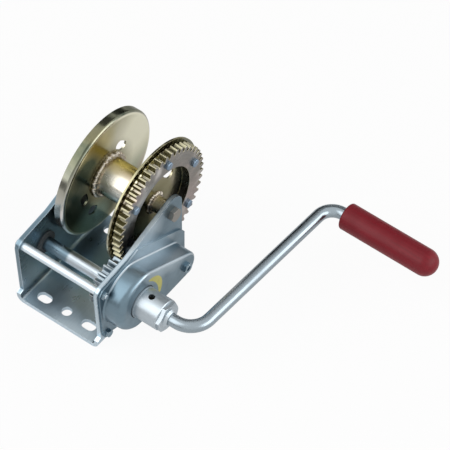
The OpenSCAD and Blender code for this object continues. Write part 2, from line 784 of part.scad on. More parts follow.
// Hub with a collar at the cover, a hexagon at its end and a short neck round the handle bar
module crank_hub() color(bright_zinc) difference() {
    r = hub_d / 2;
    collar = cover_x1 + hub_collar_l - hub_x0;
    reach = hub_x1 - hub_x0;
    union() {
        side(hub_x0, crank) rotate_extrude()
            polygon([[0, 0], [r + hub_step, 0], [r + hub_step, collar], [r, collar],
                     [r, reach - fine_edge], [r - fine_edge, reach], [0, reach]]);
        hexagon(hub_x1 - fine_edge, hex_x1, crank, hub_af, hub_turn);
        side(hex_x1, crank) rotate_extrude()
            polygon([[0, -fine_edge], [neck_r, -fine_edge], [neck_r, 0], [neck_tip_r, neck_l], [0, neck_l]]);
    }
    bar(hub_x0 - cut, shaft_x1 + joint_gap, crank, shaft_d + 2 * joint_gap);
    bar(bar_start.x - joint_gap, hex_x1 + neck_l + cut, crank, bar_d + 2 * joint_gap);
    translate([set_screw_x, crank.x, crank.y]) cylinder(d = set_screw_d + 2 * joint_gap, h = hub_d);
}

module hub_set_screw() color(dark_steel) difference() {
    translate([set_screw_x, crank.x, crank.y + shaft_d / 2 + joint_gap])
        cylinder(d = set_screw_d, h = (hub_d - shaft_d) / 2 - set_screw_deep);
    translate([set_screw_x, crank.x, crank.y + hub_d / 2 - 2 * set_screw_deep])
        cylinder(d = set_screw_d / 2, h = hub_d, $fn = 6);
}

// Straight stretch of the handle bar from one point to another, as [X, Y]
module bar_run(p, q) {
    translate([p.x, p.y, crank.y]) rotate([0, 90, heading(p, q)]) cylinder(d = bar_d, h = norm(q - p));
}

// Bend of the handle bar, a hair thicker than the straight stretches that end inside it
module bar_bend(centre, r, from, turn) {
    translate([centre.x, centre.y, crank.y]) rotate(from) rotate_extrude(angle = turn, $fn = 96)
        translate([r, 0]) circle(d = bar_d + 2 * bend_swell);
}

module crank_handle() color(bright_zinc) {
    hub_run = hub_bend_r * tan(arm_angle / 2);
    grip_run = grip_bend_r * tan(arm_angle / 2);
    arm = unit(arm_angle);
    hub_bend_x = hub_corner.x - hub_run;
    grip_bend_x = grip_corner.x + grip_run;
    bar_run(bar_start, [hub_bend_x + bend_overlap, hub_corner.y]);
    bar_bend([hub_bend_x, hub_corner.y + hub_bend_r], hub_bend_r, -90, arm_angle);
    bar_run(hub_corner + (hub_run - bend_overlap) * arm, grip_corner - (grip_run - bend_overlap) * arm);
    bar_bend([grip_bend_x, grip_corner.y - grip_bend_r], grip_bend_r, 90, arm_angle);
    bar_run([grip_bend_x - bend_overlap, grip_corner.y], bar_end);
}

module grip_retainer() color(dark_steel)
    ring(bar_end.x - 2 * retainer_t, bar_end.x - retainer_t, [bar_end.y, crank.y], retainer_d, bar_d + 2 * joint_gap);

// Half section of the grip, radius along x and length along y
module grip_section() {
    r = grip_d / 2;
    bore_r = bar_d / 2 + grip_clearance;
    open_r = 2;
    pocket_r = retainer_d / 2 + grip_clearance;
    pocket_l = retainer_t + 2 * grip_clearance;
    pocket_y = bar_end.x - 2 * retainer_t - grip_clearance - grip_x0;
    difference() {
        union() {
            translate([0, open_r]) square([r, grip_len - r - open_r]);
            square([r - open_r, grip_len - r]);
            translate([r - open_r, open_r]) circle(open_r, $fn = 32);
            intersection() {
                translate([0, grip_len - r]) circle(r);
                square([r, grip_len]);
            }
        }
        translate([-cut, -cut]) square([bore_r + cut, bar_end.x + grip_clearance - grip_x0 + cut]);
        translate([-cut, pocket_y]) square([pocket_r + cut, pocket_l]);
    }
}

module grip() color(grip_red)
    side(grip_x0, [grip_corner.y, crank.y]) rotate_extrude() grip_section();

frame();
front_tie_rod();
tie_rod_nuts();
axle_bolt();
axle_nut();
axle_washers();
left_bush();
right_bush();
brake_cover();
cover_screw();
pawl_bolt();
pawl_spacer();
ratchet_wheel();
pawl_spring();
pawl();
core_tube();
bearing_tube();
left_flange();
right_flange();
drum_gear();
gear_rivets();
drive_shaft();
pinion();
shaft_clip();
pressure_plate();
friction_discs();
crank_hub();
hub_set_screw();
crank_handle();
grip_retainer();
grip();
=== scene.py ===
import json
import math

import bmesh
import bpy
from mathutils import Matrix, Vector


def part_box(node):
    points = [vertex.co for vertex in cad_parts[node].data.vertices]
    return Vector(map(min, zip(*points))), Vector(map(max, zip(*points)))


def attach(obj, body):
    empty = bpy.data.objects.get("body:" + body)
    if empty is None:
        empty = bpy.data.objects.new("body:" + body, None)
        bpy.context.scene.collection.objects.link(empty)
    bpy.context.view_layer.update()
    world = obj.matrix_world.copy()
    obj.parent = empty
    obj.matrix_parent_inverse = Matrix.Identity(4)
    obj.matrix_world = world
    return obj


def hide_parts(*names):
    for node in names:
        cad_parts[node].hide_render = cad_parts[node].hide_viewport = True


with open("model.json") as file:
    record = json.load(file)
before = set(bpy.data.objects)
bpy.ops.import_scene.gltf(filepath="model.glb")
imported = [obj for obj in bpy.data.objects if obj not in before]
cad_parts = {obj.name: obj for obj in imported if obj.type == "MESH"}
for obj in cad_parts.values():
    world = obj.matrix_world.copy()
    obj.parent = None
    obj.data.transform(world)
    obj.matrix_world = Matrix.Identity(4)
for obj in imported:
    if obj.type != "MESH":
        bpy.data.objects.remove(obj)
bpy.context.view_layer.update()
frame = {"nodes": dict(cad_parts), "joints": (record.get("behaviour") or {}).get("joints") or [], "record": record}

bl_info = {
    "name": "Trailer winch finishes",
    "version": (1, 0, 0),
    "blender": (4, 5, 0),
    "location": "View3D > Sidebar > Winch",
    "description": "Dresses the packed trailer winch with plated metal, welds, rivets and a moulded grip",
    "category": "Object",
}

BODY_OF = {node: body for body, nodes in frame["record"]["behaviour"]["bodies"].items() for node in nodes}
JOINT_AT = {joint["name"]: Vector(joint["pos_m"]) for joint in frame["joints"]}
AXLE, CRANK, GRIP = (JOINT_AT[name] for name in ("drum_spin", "crank_spin", "grip_spin"))
MM = 0.001
X, Y, Z = range(3)
SHEET_T = 4.5  # thickness of the frame's sheet, mm


# Settings


def number(name, text, value, low=0, **kind):
    """Number for the sidebar, with its unit or subtype."""
    return bpy.props.FloatProperty(name=name, description=text, default=value, min=low, **kind)


def length(name, text, mm):
    """Length for the sidebar, given in mm."""
    return number(name, text, mm * MM, precision=5, unit="LENGTH")


def share(name, text, value):
    """Share from 0 to 1 for the sidebar."""
    return number(name, text, value, max=1, subtype="FACTOR")


def angle(name, text, degrees):
    """Angle for the sidebar, given in degrees."""
    return number(name, text, math.radians(degrees), low=-math.tau, subtype="ANGLE")


def count(name, text, value, low=0):
    """Whole number for the sidebar."""
    return bpy.props.IntProperty(name=name, description=text, default=value, min=low)


def colour(name, text, value):
    """Colour for the sidebar."""
    return bpy.props.FloatVectorProperty(
        name=name, description=text, default=value, size=3, min=0, max=1, subtype="COLOR")


class WinchFinishes(bpy.types.PropertyGroup):
    """Colours and gloss"""
    zinc: colour("Zinc", "Blue-grey zinc of the frame", (0.275, 0.375, 0.44))
    # Painted light: this lighter zinc stands for light falling on the base's front, the right plate's slope and
    # sheared edge, and the cover's top
    pale: colour("Pale zinc", "Paler zinc of the base's front and the cover's top", (0.6, 0.695, 0.76))
    # Painted shade: this darker zinc dims the right plate's apex, the cover's nose, the left plate's sheared edge
    # and the shaft's left part
    dusk: colour("Dusky zinc", "Darker zinc of the plate's apex and the cover's nose", (0.13, 0.195, 0.24))
    # Painted sheen: a light blue reflection laid on the base between the plates
    sheen: colour("Blue sheen", "Light blue zinc of the base between the plates", (0.52, 0.76, 0.92))
    cover: colour("Cover zinc", "Blue-grey zinc of the brake cover", (0.235, 0.325, 0.385))
    # Painted highlights: bright lines along the cover's foot fillet and the rounded edge of its face
    rubbed: colour("Rubbed zinc", "Bright lines along the cover's foot and face", (0.76, 0.83, 0.87))
    bright: colour("Bright zinc", "Silver zinc of the rods and the hub", (0.55, 0.615, 0.66))
    arm: colour("Handle zinc", "Silver zinc of the bent handle", (0.35, 0.41, 0.45))
    rivet: colour("Rivets", "Blue zinc of the rivet heads", (0.26, 0.35, 0.45))
    # Painted shade: a dark tint on the pinion's lower front and on the left plate's inside behind the drum
    grease: colour("Grease", "Dark grease on the pinion and behind the drum", (0.03, 0.036, 0.038))
    steel: colour("Dark steel", "Brown-black steel of the axle bolt", (0.11, 0.1, 0.078))
    gold: colour("Chromate", "Olive-gold chromate of the flanges", (0.56, 0.53, 0.37))
    rose: colour("Chromate rose", "Rose shimmer in the chromate", (0.55, 0.46, 0.45))
    moss: colour("Chromate moss", "Green shimmer in the chromate", (0.38, 0.42, 0.3))
    tooth: colour("Chromate gold", "Deeper gold on cut teeth", (0.285, 0.27, 0.15))
    face: colour("Gear face", "Pale lilac chromate of the gear's face", (0.36, 0.345, 0.335))
    rim: colour("Rim", "Silver that the chromate thins to at the flange rim", (0.9, 0.86, 0.84))
    scorch: colour("Scorch", "Olive-brown chromate beside the welds", (0.2, 0.17, 0.085))
    # Painted reflection: the golden-brown of the core tube mirrored in the left flange
    amber: colour("Amber", "Golden-brown stain on the flange", (0.7, 0.6, 0.29))
    # Painted highlights and reflection: light yellow-white on the left flange's upper back, along its rim's bend
    # and in the gear's bore
    cream: colour("Cream", "Pale cream chromate on the flange", (1.0, 0.975, 0.78))
    # Painted shade and dark reflections on the flanges, the top of the left rim and the gear's bore
    shade: colour("Dark chromate", "Dark green stain on the flange", (0.035, 0.055, 0.04))
    # Painted reflection: blue-green at the foot of the left flange
    teal: colour("Teal chromate", "Blue-green stain at the flange's foot", (0.3, 0.44, 0.37))
    tube: colour("Tube chromate", "Pale chromate of the drum's tubes", (0.95, 0.91, 0.81))
    blush: colour("Tube blush", "Rose shimmer on the drum's tubes", (0.72, 0.6, 0.53))
    # Painted reflection: a gold band along the top of the drum core
    streak: colour("Gold streak", "Gold streak along the drum core", (0.5, 0.4, 0.125))
    weld: colour("Weld", "Pale weld metal", (0.66, 0.61, 0.53))
    weld_brown: colour("Weld brown", "Brown rings in the weld", (0.42, 0.32, 0.24))
    weld_dark: colour("Weld dark", "Dark rings in the weld", (0.16, 0.11, 0.06))
    nylon: colour("Nylon", "Black nylon of the bushes", (0.012, 0.013, 0.014))
    lining: colour("Lining", "Brake lining", (0.09, 0.06, 0.04))
    vinyl: colour("Grip", "Red vinyl of the grip", (0.245, 0.009, 0.019))
    mark: colour("Turning mark", "Yellow paint of the turning mark", (0.52, 0.48, 0.12))
    zinc_rough: share("Zinc roughness", "Roughness of the frame's zinc", 0.26)
    bright_rough: share("Bright roughness", "Roughness of the silver zinc", 0.26)
    gold_rough: share("Chromate roughness", "Roughness of the drum's chromate", 0.15)


class WinchEdges(bpy.types.PropertyGroup):
    """Softened edges"""
    sheet: length("Sheet edge", "Softening of the sheet edges", 0.5)
    turned: length("Turned edge", "Softening of turned pieces", 0.5)
    tooth: length("Tooth edge", "Softening of the gear teeth", 0.25)
    nut: length("Nut edge", "Softening of nuts and heads", 0.3)


class WinchRivets(bpy.types.PropertyGroup):
    """Rivets of the drum gear"""
    number: count("Rivets", "Number of rivets", 6, low=1)
    circle: length("Circle", "Radius of the circle of rivets", 51.7)
    first: angle("First rivet", "Angle of the first rivet", 19)
    head: length("Head", "Half width of a head over its corners", 4.62)
    tail: length("Tail", "Radius of a closed tail", 4.5)
    tail_height: length("Tail height", "Height of a tail behind its flange", 1.5)
    crown: length("Crown", "Step of the rounded ends", 0.35)
    edge: length("Edge", "Softening of a head's edges", 0.2)


class WinchWelds(bpy.types.PropertyGroup):
    """Weld beads"""
    core_size: length("Core bead", "Width of the bead round the core tube", 7.4)
    hub_size: length("Bearing bead", "Width of the bead round the bearing tube", 6.0)
    left_off: length("Left core bead", "Distance of its middle from the left flange's face", 1.6)
    right_in: length("Right core bead", "Depth of its middle in the right flange", 0.7)
    hub_in: length("Left bearing bead", "Depth of its middle behind the left flange's face", 2.0)
    stand: share("Stand", "Share of a bead's width between its middle and the tube", 0.22)
    ripple: length("Ripple pitch", "Distance between two ripples of a bead", 2.2)
    seed: count("Seed", "Seed of the bead's uneven ripples", 7)


class WinchMark(bpy.types.PropertyGroup):
    """Yellow turning mark beside the hub"""
    start: angle("Start", "Angle of the upper tip about the crank", 64)
    end: angle("End", "Angle of the lower tip about the crank", -32)
    radius: length("Radius", "Distance of the upper tip from the crank's axis", 22.6)
    drift: length("Drift", "How much farther out the lower tip is", 5.4)
    tip: length("Tip", "Half width of the tips", 0.5)
    belly: length("Belly", "Half width that the middle adds", 3.2)
    film: length("Film", "Thickness of the paint", 0.1)


class WinchStage(bpy.types.PropertyGroup):
    """Floor, light and camera"""
    floor: colour("Floor", "Pale floor", (0.92, 0.92, 0.92))
    floor_seen: share("Floor white", "Share of plain white that the camera sees", 0.93)
    floor_gloss: share("Floor in gloss", "Share of plain white that reflections see", 0.3)
    key_power: number("Key power", "Power of the large soft box", 24, unit="POWER")
    fill_power: number("Fill power", "Power of the second soft box", 24, unit="POWER")
    world_level: number("Room light", "Strength of the even room light", 0.4)
    azimuth: angle("Azimuth", "Camera turn from the front towards the crank", 36.593)
    elevation: angle("Elevation", "Camera height above the floor", 52.055)
    roll: angle("Roll", "Camera roll", 0.612)
    distance: length("Distance", "Camera distance", 3687.81)
    target: bpy.props.FloatVectorProperty(
        name="Target", description="Point that camera, lamps and cards are set from",
        default=(46.5 * MM, 16.5 * MM, 54.5 * MM), size=3, precision=5, subtype="TRANSLATION")
    aside: length("Aside", "Camera's way to its right from the target", 69.37)
    above: length("Above", "Camera's way upwards from the target", 30.07)
    lens: number("Lens", "Focal length on a 36 mm sensor", 320, low=1, unit="CAMERA")


def part(kind):
    """A group of settings, described by its docstring."""
    return bpy.props.PointerProperty(type=kind, name=kind.__name__.removeprefix("Winch"), description=kind.__doc__)


class WinchSettings(bpy.types.PropertyGroup):
    """All settings of the winch"""
    finishes: part(WinchFinishes)
    edges: part(WinchEdges)
    rivets: part(WinchRivets)
    welds: part(WinchWelds)
    mark: part(WinchMark)
    stage: part(WinchStage)


def settings():
    return bpy.context.scene.winch


# Node trees

# Kinds of the groups' named sockets; the others are numbers
KINDS = {
    **dict.fromkeys(("Vector", "Axis", "Spread", "Centre"), "Vector"),
    **dict.fromkeys(("Gold", "Rose", "Moss", "Colour"), "Color"),
    **dict.fromkeys(("Ripples", "Seed", "Count"), "Int"),
    "Rivet": "Object", "Material": "Material", "Geometry": "Geometry",
}


def put(tree, kind, *links, **values):
    """Adds a node; links go to its inputs in order, values to its properties or named inputs."""
    node = tree.nodes.new(kind)
    for key, value in values.items():
        if key in node.inputs:
            feed(tree, value, node.inputs[key])
        else:
            setattr(node, key, value)
    for socket, source in zip(node.inputs, links):
        feed(tree, source, socket)
    return node


def feed(tree, value, socket):
    """Links a node or an output to a socket, or sets the socket's value."""
    if isinstance(value, bpy.types.NodeSocket):
        tree.links.new(value, socket)
    elif isinstance(value, bpy.types.Node):
        tree.links.new(value.outputs[0], socket)
    elif socket.type == "RGBA" and len(value) == 3:
        socket.default_value = (*value, 1)
    else:
        socket.default_value = value


def blend(tree, amount, a, b, mode="MIX", label=""):
    """Mixes two colours."""
    node = tree.nodes.new("ShaderNodeMix")
    node.data_type, node.blend_type, node.label = "RGBA", mode, label
    for value, index in ((amount, 0), (a, 6), (b, 7)):
        feed(tree, value, node.inputs[index])
    return node.outputs[2]


def maths(tree, operation, a, b=0.0, clamp=False):
    return put(tree, "ShaderNodeMath", a, b, operation=operation, use_clamp=clamp).outputs[0]


def times(tree, a, b):
    return maths(tree, "MULTIPLY", a, b)


def plus(tree, a, b, clamp=False):
    return maths(tree, "ADD", a, b, clamp)


def over(tree, body, tint, mask, amount):
    """Lays a tint over a colour where a mask says, by an amount."""
    return blend(tree, times(tree, mask, amount), body, tint)


def span(tree, value, low, high, to_low=0.0, to_high=1.0):
    """Maps a range of values to another."""
    return put(tree, "ShaderNodeMapRange", value, low, high, to_low, to_high).outputs[0]


def noise(tree, where, scale, detail, **more):
    """Grey noise."""
    return put(tree, "ShaderNodeTexNoise", Vector=where, Scale=scale, Detail=detail, **more).outputs["Fac"]


def vectors(tree, operation, *values):
    return put(tree, "ShaderNodeVectorMath", *values, operation=operation)


def add_sockets(tree, way, names):
    """Gives a group its inputs or its outputs."""
    for name in names:
        tree.interface.new_socket(name=name, in_out=way, socket_type="NodeSocket" + KINDS.get(name, "Float"))


def place(tree, build, **values):
    """Places a shared group with its own values; the function that builds it runs the first time."""
    name = build.__name__.replace("_", " ").capitalize()
    shared = bpy.data.node_groups.get(name)
    if shared is None:
        shared = bpy.data.node_groups.new(name, "ShaderNodeTree")
        add_sockets(shared, "INPUT", values)
        made = build(shared, shared.nodes.new("NodeGroupInput").outputs)
        add_sockets(shared, "OUTPUT", made)
        put(shared, "NodeGroupOutput", *made.values())
    node = tree.nodes.new("ShaderNodeGroup")
    node.node_tree = shared
    for key, value in values.items():
        feed(tree, value, node.inputs[key])
    return node.outputs


def plating_clouds(tree, given):
    """Soft clouds and fine crystals of a plated surface."""
    clouds = noise(tree, given["Vector"], given["Scale"], 4.0, Roughness=0.55, Distortion=0.6)
    fine = noise(tree, given["Vector"], times(tree, given["Scale"], 60.0), 2.0)
    both = plus(tree, times(tree, clouds, 0.85), times(tree, fine, 0.15))
    return {"Cloud": span(tree, both, 0.3, 0.7), "Grain": fine}


def drawn_lines(tree, given):
    """Fine lines that a die or a roll leaves along a piece, as many to the metre as the spread says."""
    drawn = put(tree, "ShaderNodeMapping", Vector=given["Vector"], Scale=given["Spread"])
    return {"Lines": span(tree, noise(tree, drawn, 1.0, 3.0, Roughness=0.7), 0.35, 0.65)}


def disc_lines(tree, given):
    """Radius and turning lines about an axis along X."""
    off_axis = put(tree, "ShaderNodeSeparateXYZ", vectors(tree, "SUBTRACT", given["Vector"], given["Axis"]))
    x, y, z = off_axis.outputs
    radius = maths(tree, "SQRT", plus(tree, maths(tree, "POWER", y, 2.0), maths(tree, "POWER", z, 2.0)))
    per_metre, per_radian = 2200.0, 0.8
    around = put(tree, "ShaderNodeCombineXYZ", times(tree, radius, per_metre),
                 times(tree, maths(tree, "ARCTAN2", z, y), per_radian), x)
    return {"Radius": radius, "Lines": span(tree, noise(tree, around, 1.0, 3.0), 0.35, 0.65)}


def worn_edges(tree, given):
    """Softened edges, broken up by noise."""
    edge = put(tree, "ShaderNodeAttribute", attribute_type="GEOMETRY", attribute_name="edge_wear")
    spots = noise(tree, given["Vector"], 260.0, 3.0)
    return {"Wear": times(tree, edge.outputs["Fac"], span(tree, spots, 0.3, 0.6))}


def handling_marks(tree, given):
    """Short fine scratches and faint smudges from handling."""
    turned = put(tree, "ShaderNodeMapping", Vector=given["Vector"], Rotation=(0.4, 0.7, 0.3),
                 Scale=(1.0, 22.0, 1.0))
    thin = span(tree, noise(tree, turned, 90.0, 2.0), 0.7, 0.76)
    where = noise(tree, given["Vector"], 38.0, 2.0)
    return {"Scratch": times(tree, thin, span(tree, where, 0.5, 0.62)), "Smudge": span(tree, where, 0.42, 0.7)}


def chromate_shimmer(tree, given):
    """Olive gold that drifts to rose and moss, as chromate does."""
    drift = noise(tree, given["Vector"], given["Scale"], 2.5, Distortion=1.2)
    shifted = put(tree, "ShaderNodeMapping", Vector=given["Vector"], Location=(0.3, 0.1, 0.7))
    other = noise(tree, shifted, times(tree, given["Scale"], 1.7), 2.5, Distortion=0.8)
    rosy = blend(tree, span(tree, drift, 0.5, 0.68), given["Gold"], given["Rose"])
    return {"Colour": blend(tree, span(tree, other, 0.54, 0.74), rosy, given["Moss"])}


# Finishes

# Drawn lines to the metre along each axis
ALONG_X, ALONG_Y = (40.0, 900.0, 900.0), (900.0, 40.0, 900.0)
FORE_AND_AFT = (500.0, 30.0, 500.0)
CROSSWISE = (300.0, 900.0, 900.0)
COARSE, GRAINED, FINE = (300.0,) * 3, (400.0,) * 3, (500.0,) * 3
ZINC_SCRATCH, ZINC_WORN = (0.8, 0.82, 0.83), (0.86, 0.88, 0.89)
GOLD_LINES, GOLD_SCRATCH, GOLD_WORN = (0.78, 0.74, 0.62), (0.8, 0.78, 0.7), (0.88, 0.8, 0.56)
GOLD_DULL, GOLD_GLANCE = (0.6, 0.58, 0.5), (0.5, 0.5, 0.48, 1.0)
SPOT_CORE = 0.35  # share of a painted spot's reach that has all of its tint
BUMP_DEPTH = 0.2 * MM


def scaled(tint, by):
    """A tint made darker or lighter."""
    return tuple(min(1.0, by * c) for c in tint)


def emptied(made):
    """A material or a world with its node tree, without nodes."""
    made.use_nodes = True
    made.node_tree.nodes.clear()
    return made, made.node_tree


def new_material(name):
    """Empty material with its shader and the piece's own coordinates."""
    made, tree = emptied(bpy.data.materials.new(name))
    shader = tree.nodes.new("ShaderNodeBsdfPrincipled")
    put(tree, "ShaderNodeOutputMaterial", shader)
    return made, tree, shader, tree.nodes.new("ShaderNodeTexCoord").outputs["Object"]


def coat(tree, shader, body, rough, height, strength):
    """Gives a shader its colour, its roughness and its relief."""
    relief = put(tree, "ShaderNodeBump", Strength=strength, Distance=BUMP_DEPTH, Height=height)
    for name, source in (("Base Color", body), ("Roughness", rough), ("Normal", relief)):
        feed(tree, source, shader.inputs[name])


def stained(tree, where, body, painted_spots):
    """Soft painted spots of light and shade, each (label, x, y, z, reach, tint, amount) in mm; one with no x runs
    along the piece.
    """
    for label, x, y, z, reach, tint, amount in painted_spots:
        away = vectors(tree, "SUBTRACT", where, MM * Vector((x or 0, y, z)))
        if x is None:
            away = vectors(tree, "MULTIPLY", away, (0.0, 1.0, 1.0))
        apart = vectors(tree, "LENGTH", away).outputs["Value"]
        mask = span(tree, apart, reach * MM, SPOT_CORE * reach * MM, 0.0, amount)
        body = blend(tree, mask, body, tint, label=label)
    return body


def limited(tree, where, amount, limits):
    """An amount that fades along the piece: each limit is (axis, place of none, place of all), in mm."""
    parts = put(tree, "ShaderNodeSeparateXYZ", where).outputs
    for axis, none, full in limits:
        amount = times(tree, amount, span(tree, parts[axis], none * MM, full * MM))
    return amount


def plated(name, tint, rough, clouds, spread, drawn, wear=0.6, deep=0.78, painted_spots=(), painted_patches=()):
    """Plated metal with clouds, painted spots and areas of light and shade, drawn lines, handling marks and bright
    edges.

    Each painted area of light or shade is (label, tint, amount, limits).
    """
    made, tree, shader, where = new_material(name)
    plating = place(tree, plating_clouds, Vector=where, Scale=clouds)
    marks = place(tree, handling_marks, Vector=where)
    edges = place(tree, worn_edges, Vector=where)
    lines = place(tree, drawn_lines, Vector=where, Spread=spread)["Lines"]
    body = stained(tree, where, blend(tree, plating["Cloud"], scaled(tint, deep), tint), painted_spots)
    body = over(tree, body, scaled(tint, 1.18), lines, 0.35 * drawn)
    for label, painted_patch, amount, limits in painted_patches:
        body = blend(tree, limited(tree, where, amount, limits), body, painted_patch, label=label)
    body = over(tree, body, ZINC_SCRATCH, marks["Scratch"], 0.08)
    body = over(tree, body, ZINC_WORN, edges["Wear"], wear)
    gloss = plus(tree, span(tree, plating["Cloud"], 0.0, 1.0, rough + 0.07, rough - 0.04),
                 times(tree, marks["Smudge"], 0.06))
    gloss = plus(tree, gloss, times(tree, lines, 0.05 * drawn), clamp=True)
    height = plus(tree, times(tree, lines, drawn), times(tree, plating["Grain"], 0.3))
    height = maths(tree, "SUBTRACT", height, times(tree, marks["Scratch"], 0.05))
    coat(tree, shader, body, gloss, height, 0.02)
    shader.inputs["Metallic"].default_value = 1.0
    return made


def plain_plating(name, f):
    """The plated finishes of one even tint."""
    tint, rough, clouds, spread, drawn, wear, deep = {
        "bright_zinc": (f.bright, f.bright_rough, 30.0, ALONG_X, 0.3, 0.6, 0.85),
        "rod_zinc": (scaled(f.bright, 1.3), f.bright_rough + 0.16, 30.0, ALONG_X, 0.3, 0.6, 0.9),
        "arm_zinc": (f.arm, f.bright_rough - 0.03, 30.0, ALONG_Y, 0.1, 0.6, 0.88),
        "hub_zinc": (scaled(f.bright, 0.9), f.bright_rough + 0.1, 40.0, FINE, 0.15, 0.6, 0.9),
        "nut_zinc": (f.zinc, f.zinc_rough, 60.0, GRAINED, 0.2, 0.6, 0.78),
        "rivet_zinc": (f.rivet, 0.28, 60.0, GRAINED, 0.2, 0.6, 0.78),
        "dark_steel": (f.steel, 0.36, 70.0, GRAINED, 0.3, 0.25, 0.78),
        "black_oxide": (scaled(f.steel, 0.2), 0.5, 90.0, GRAINED, 0.2, 0.1, 0.78),
    }[name]
    return plated(name, tint, rough, clouds, spread, drawn, wear, deep)


def sheet_zinc(name, f):
    """Zinc of the frame: painted light on its front, painted shade on its apex and behind the drum, both on the
    sheared edges.
    """
    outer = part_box("frame")[1].x / MM
    inner = outer - SHEET_T
    # Painted light and shade on the sheared edges: lighter on the right plate, darker on the left.
    painted_patches = [(label, tint, 0.75, ((X, side * (inner + 0.5), side * (inner + 0.9)),
                                    (X, side * (outer - 0.5), side * (outer - 0.9)), (Z, 9, 12)))
               for label, side, tint in (("left sheared edge", -1, f.dusk), ("right sheared edge", 1, f.pale))]
    # Painted shade on the left plate's inside, behind the drum, seen through the flange's slots.
    painted_patches.append(("grease behind the drum", f.grease, 0.9, (
        (X, -inner - 2, -inner - 1), (X, 0, -10), (Y, 8, 24), (Z, 18, 28))))
    # Painted light on the base's front and the right plate's slope, a painted light band across the base, a
    # painted sheen between the plates and painted shade on the right plate's apex.
    painted_spots = (
        ("base between the plates", 0, -24, 0, 64, f.sheen, 0.85),
        ("left of the front", -22, -78, -16, 78, f.pale, 0.85),
        ("middle of the front", 6, -78, -16, 80, f.pale, 0.85),
        ("right of the front", 36, -78, -16, 78, f.pale, 0.85),
        ("line across the base", None, -32, 4.5, 6.5, f.pale, 0.6),
        ("apex of the right plate", 49, 43, 99, 44, f.dusk, 0.95),
        ("spot on the base", -14, -28, 4.5, 26, f.pale, 0.2),
        ("slope of the right plate", 49, 9, 95, 30, f.pale, 0.8))
    return plated(name, f.zinc, f.zinc_rough, 34.0, FORE_AND_AFT, 0.5, 0.9, 0.66, painted_spots, painted_patches)


def cover_zinc(name, f):
    """Zinc of the brake cover: painted highlights along its bends, painted light on its top, painted shade on its
    nose.
    """
    back, front = (corner.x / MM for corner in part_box("brake_cover"))
    # Painted highlights along the foot fillet and the rounded edge of the face.
    painted_patches = (
        ("rubbed foot", f.rubbed, 0.5, (
            (X, back + 2.4, back + 2.8), (X, back + 4.2, back + 3.7), (Y, -56, -34))),
        ("rubbed edge of the face", f.rubbed, 0.42, (
            (X, front - 1.5, front - 1.1), (X, front - 0.08, front - 0.3), (Y, -42, -14))))
    # Painted light on the top wall and the small end; painted shade dimming the nose.
    painted_spots = (
        ("top", 58, 8, 84, 34, f.pale, 0.8), ("small end", 60, 30, 68, 26, f.pale, 0.75),
        ("nose", 54, -43, 77, 28, f.dusk, 0.75))
    return plated(name, f.cover, f.zinc_rough + 0.03, 40.0, COARSE, 0.15, 0.95, 0.66, painted_spots, painted_patches)


def shaft_zinc(name, f):
    """Zinc of the crank shaft, with painted shade towards the left bush."""
    return plated(name, scaled(f.bright, 0.85), f.bright_rough, 30.0, ALONG_X, 0.3, deep=0.85,
                  # Painted shade: the left part of the shaft darkened.
                  painted_patches=(("shaded left part", f.dusk, 0.95, ((X, -12.5, -15),)),))


def pinion_zinc(name, f):
    """Zinc of the pinion with painted shade on its lower front."""
    tint = tuple(0.4 * (a + b) for a, b in zip(f.zinc, f.bright))
    # Painted shade on the pinion's lower front.
    return plated(name, tint, 0.34, 60.0, CROSSWISE, 0.2, painted_spots=(("grease", 34, -52, 48, 24, f.grease, 0.95),))


def chromate(name, gold, rose, moss, rough, scale, turned, wear=0.35, bands=(), painted_spots=()):
    """Yellow chromate over zinc, with turning lines about the drum axle, painted spots of light and shade and
    tinted bands.

    A band is (label, start, end, tint, amount, limits): it sets in between two radii, in mm.
    """
    made, tree, shader, where = new_material(name)
    shimmer = place(tree, chromate_shimmer, Vector=where, Scale=scale, Gold=gold, Rose=rose, Moss=moss)
    disc = place(tree, disc_lines, Vector=where, Axis=AXLE)
    plating = place(tree, plating_clouds, Vector=where, Scale=34.0)
    marks = place(tree, handling_marks, Vector=where)
    edges = place(tree, worn_edges, Vector=where)
    dulled = blend(tree, plating["Cloud"], GOLD_DULL, (1.0, 1.0, 1.0))
    body = stained(tree, where, blend(tree, 0.35, shimmer["Colour"], dulled, "MULTIPLY"), painted_spots)
    for label, start, end, tint, amount, limits in bands:
        uneven = span(tree, plating["Cloud"], 0.0, 1.0, amount, 0.6 * amount)
        ring = times(tree, span(tree, disc["Radius"], start * MM, end * MM), uneven)
        body = blend(tree, limited(tree, where, ring, limits), body, tint, label=label)
    body = over(tree, body, GOLD_LINES, disc["Lines"], 0.12 * turned)
    body = over(tree, body, GOLD_SCRATCH, marks["Scratch"], 0.3)
    body = over(tree, body, GOLD_WORN, edges["Wear"], wear)
    gloss = plus(tree, span(tree, plating["Cloud"], 0.0, 1.0, rough + 0.06, rough - 0.03),
                 times(tree, marks["Smudge"], 0.07), clamp=True)
    height = plus(tree, times(tree, disc["Lines"], 0.5 * turned), times(tree, plating["Grain"], 0.3))
    coat(tree, shader, body, gloss, height, 0.05)
    shader.inputs["Metallic"].default_value = 1.0
    shader.inputs["Specular Tint"].default_value = GOLD_GLANCE
    return made


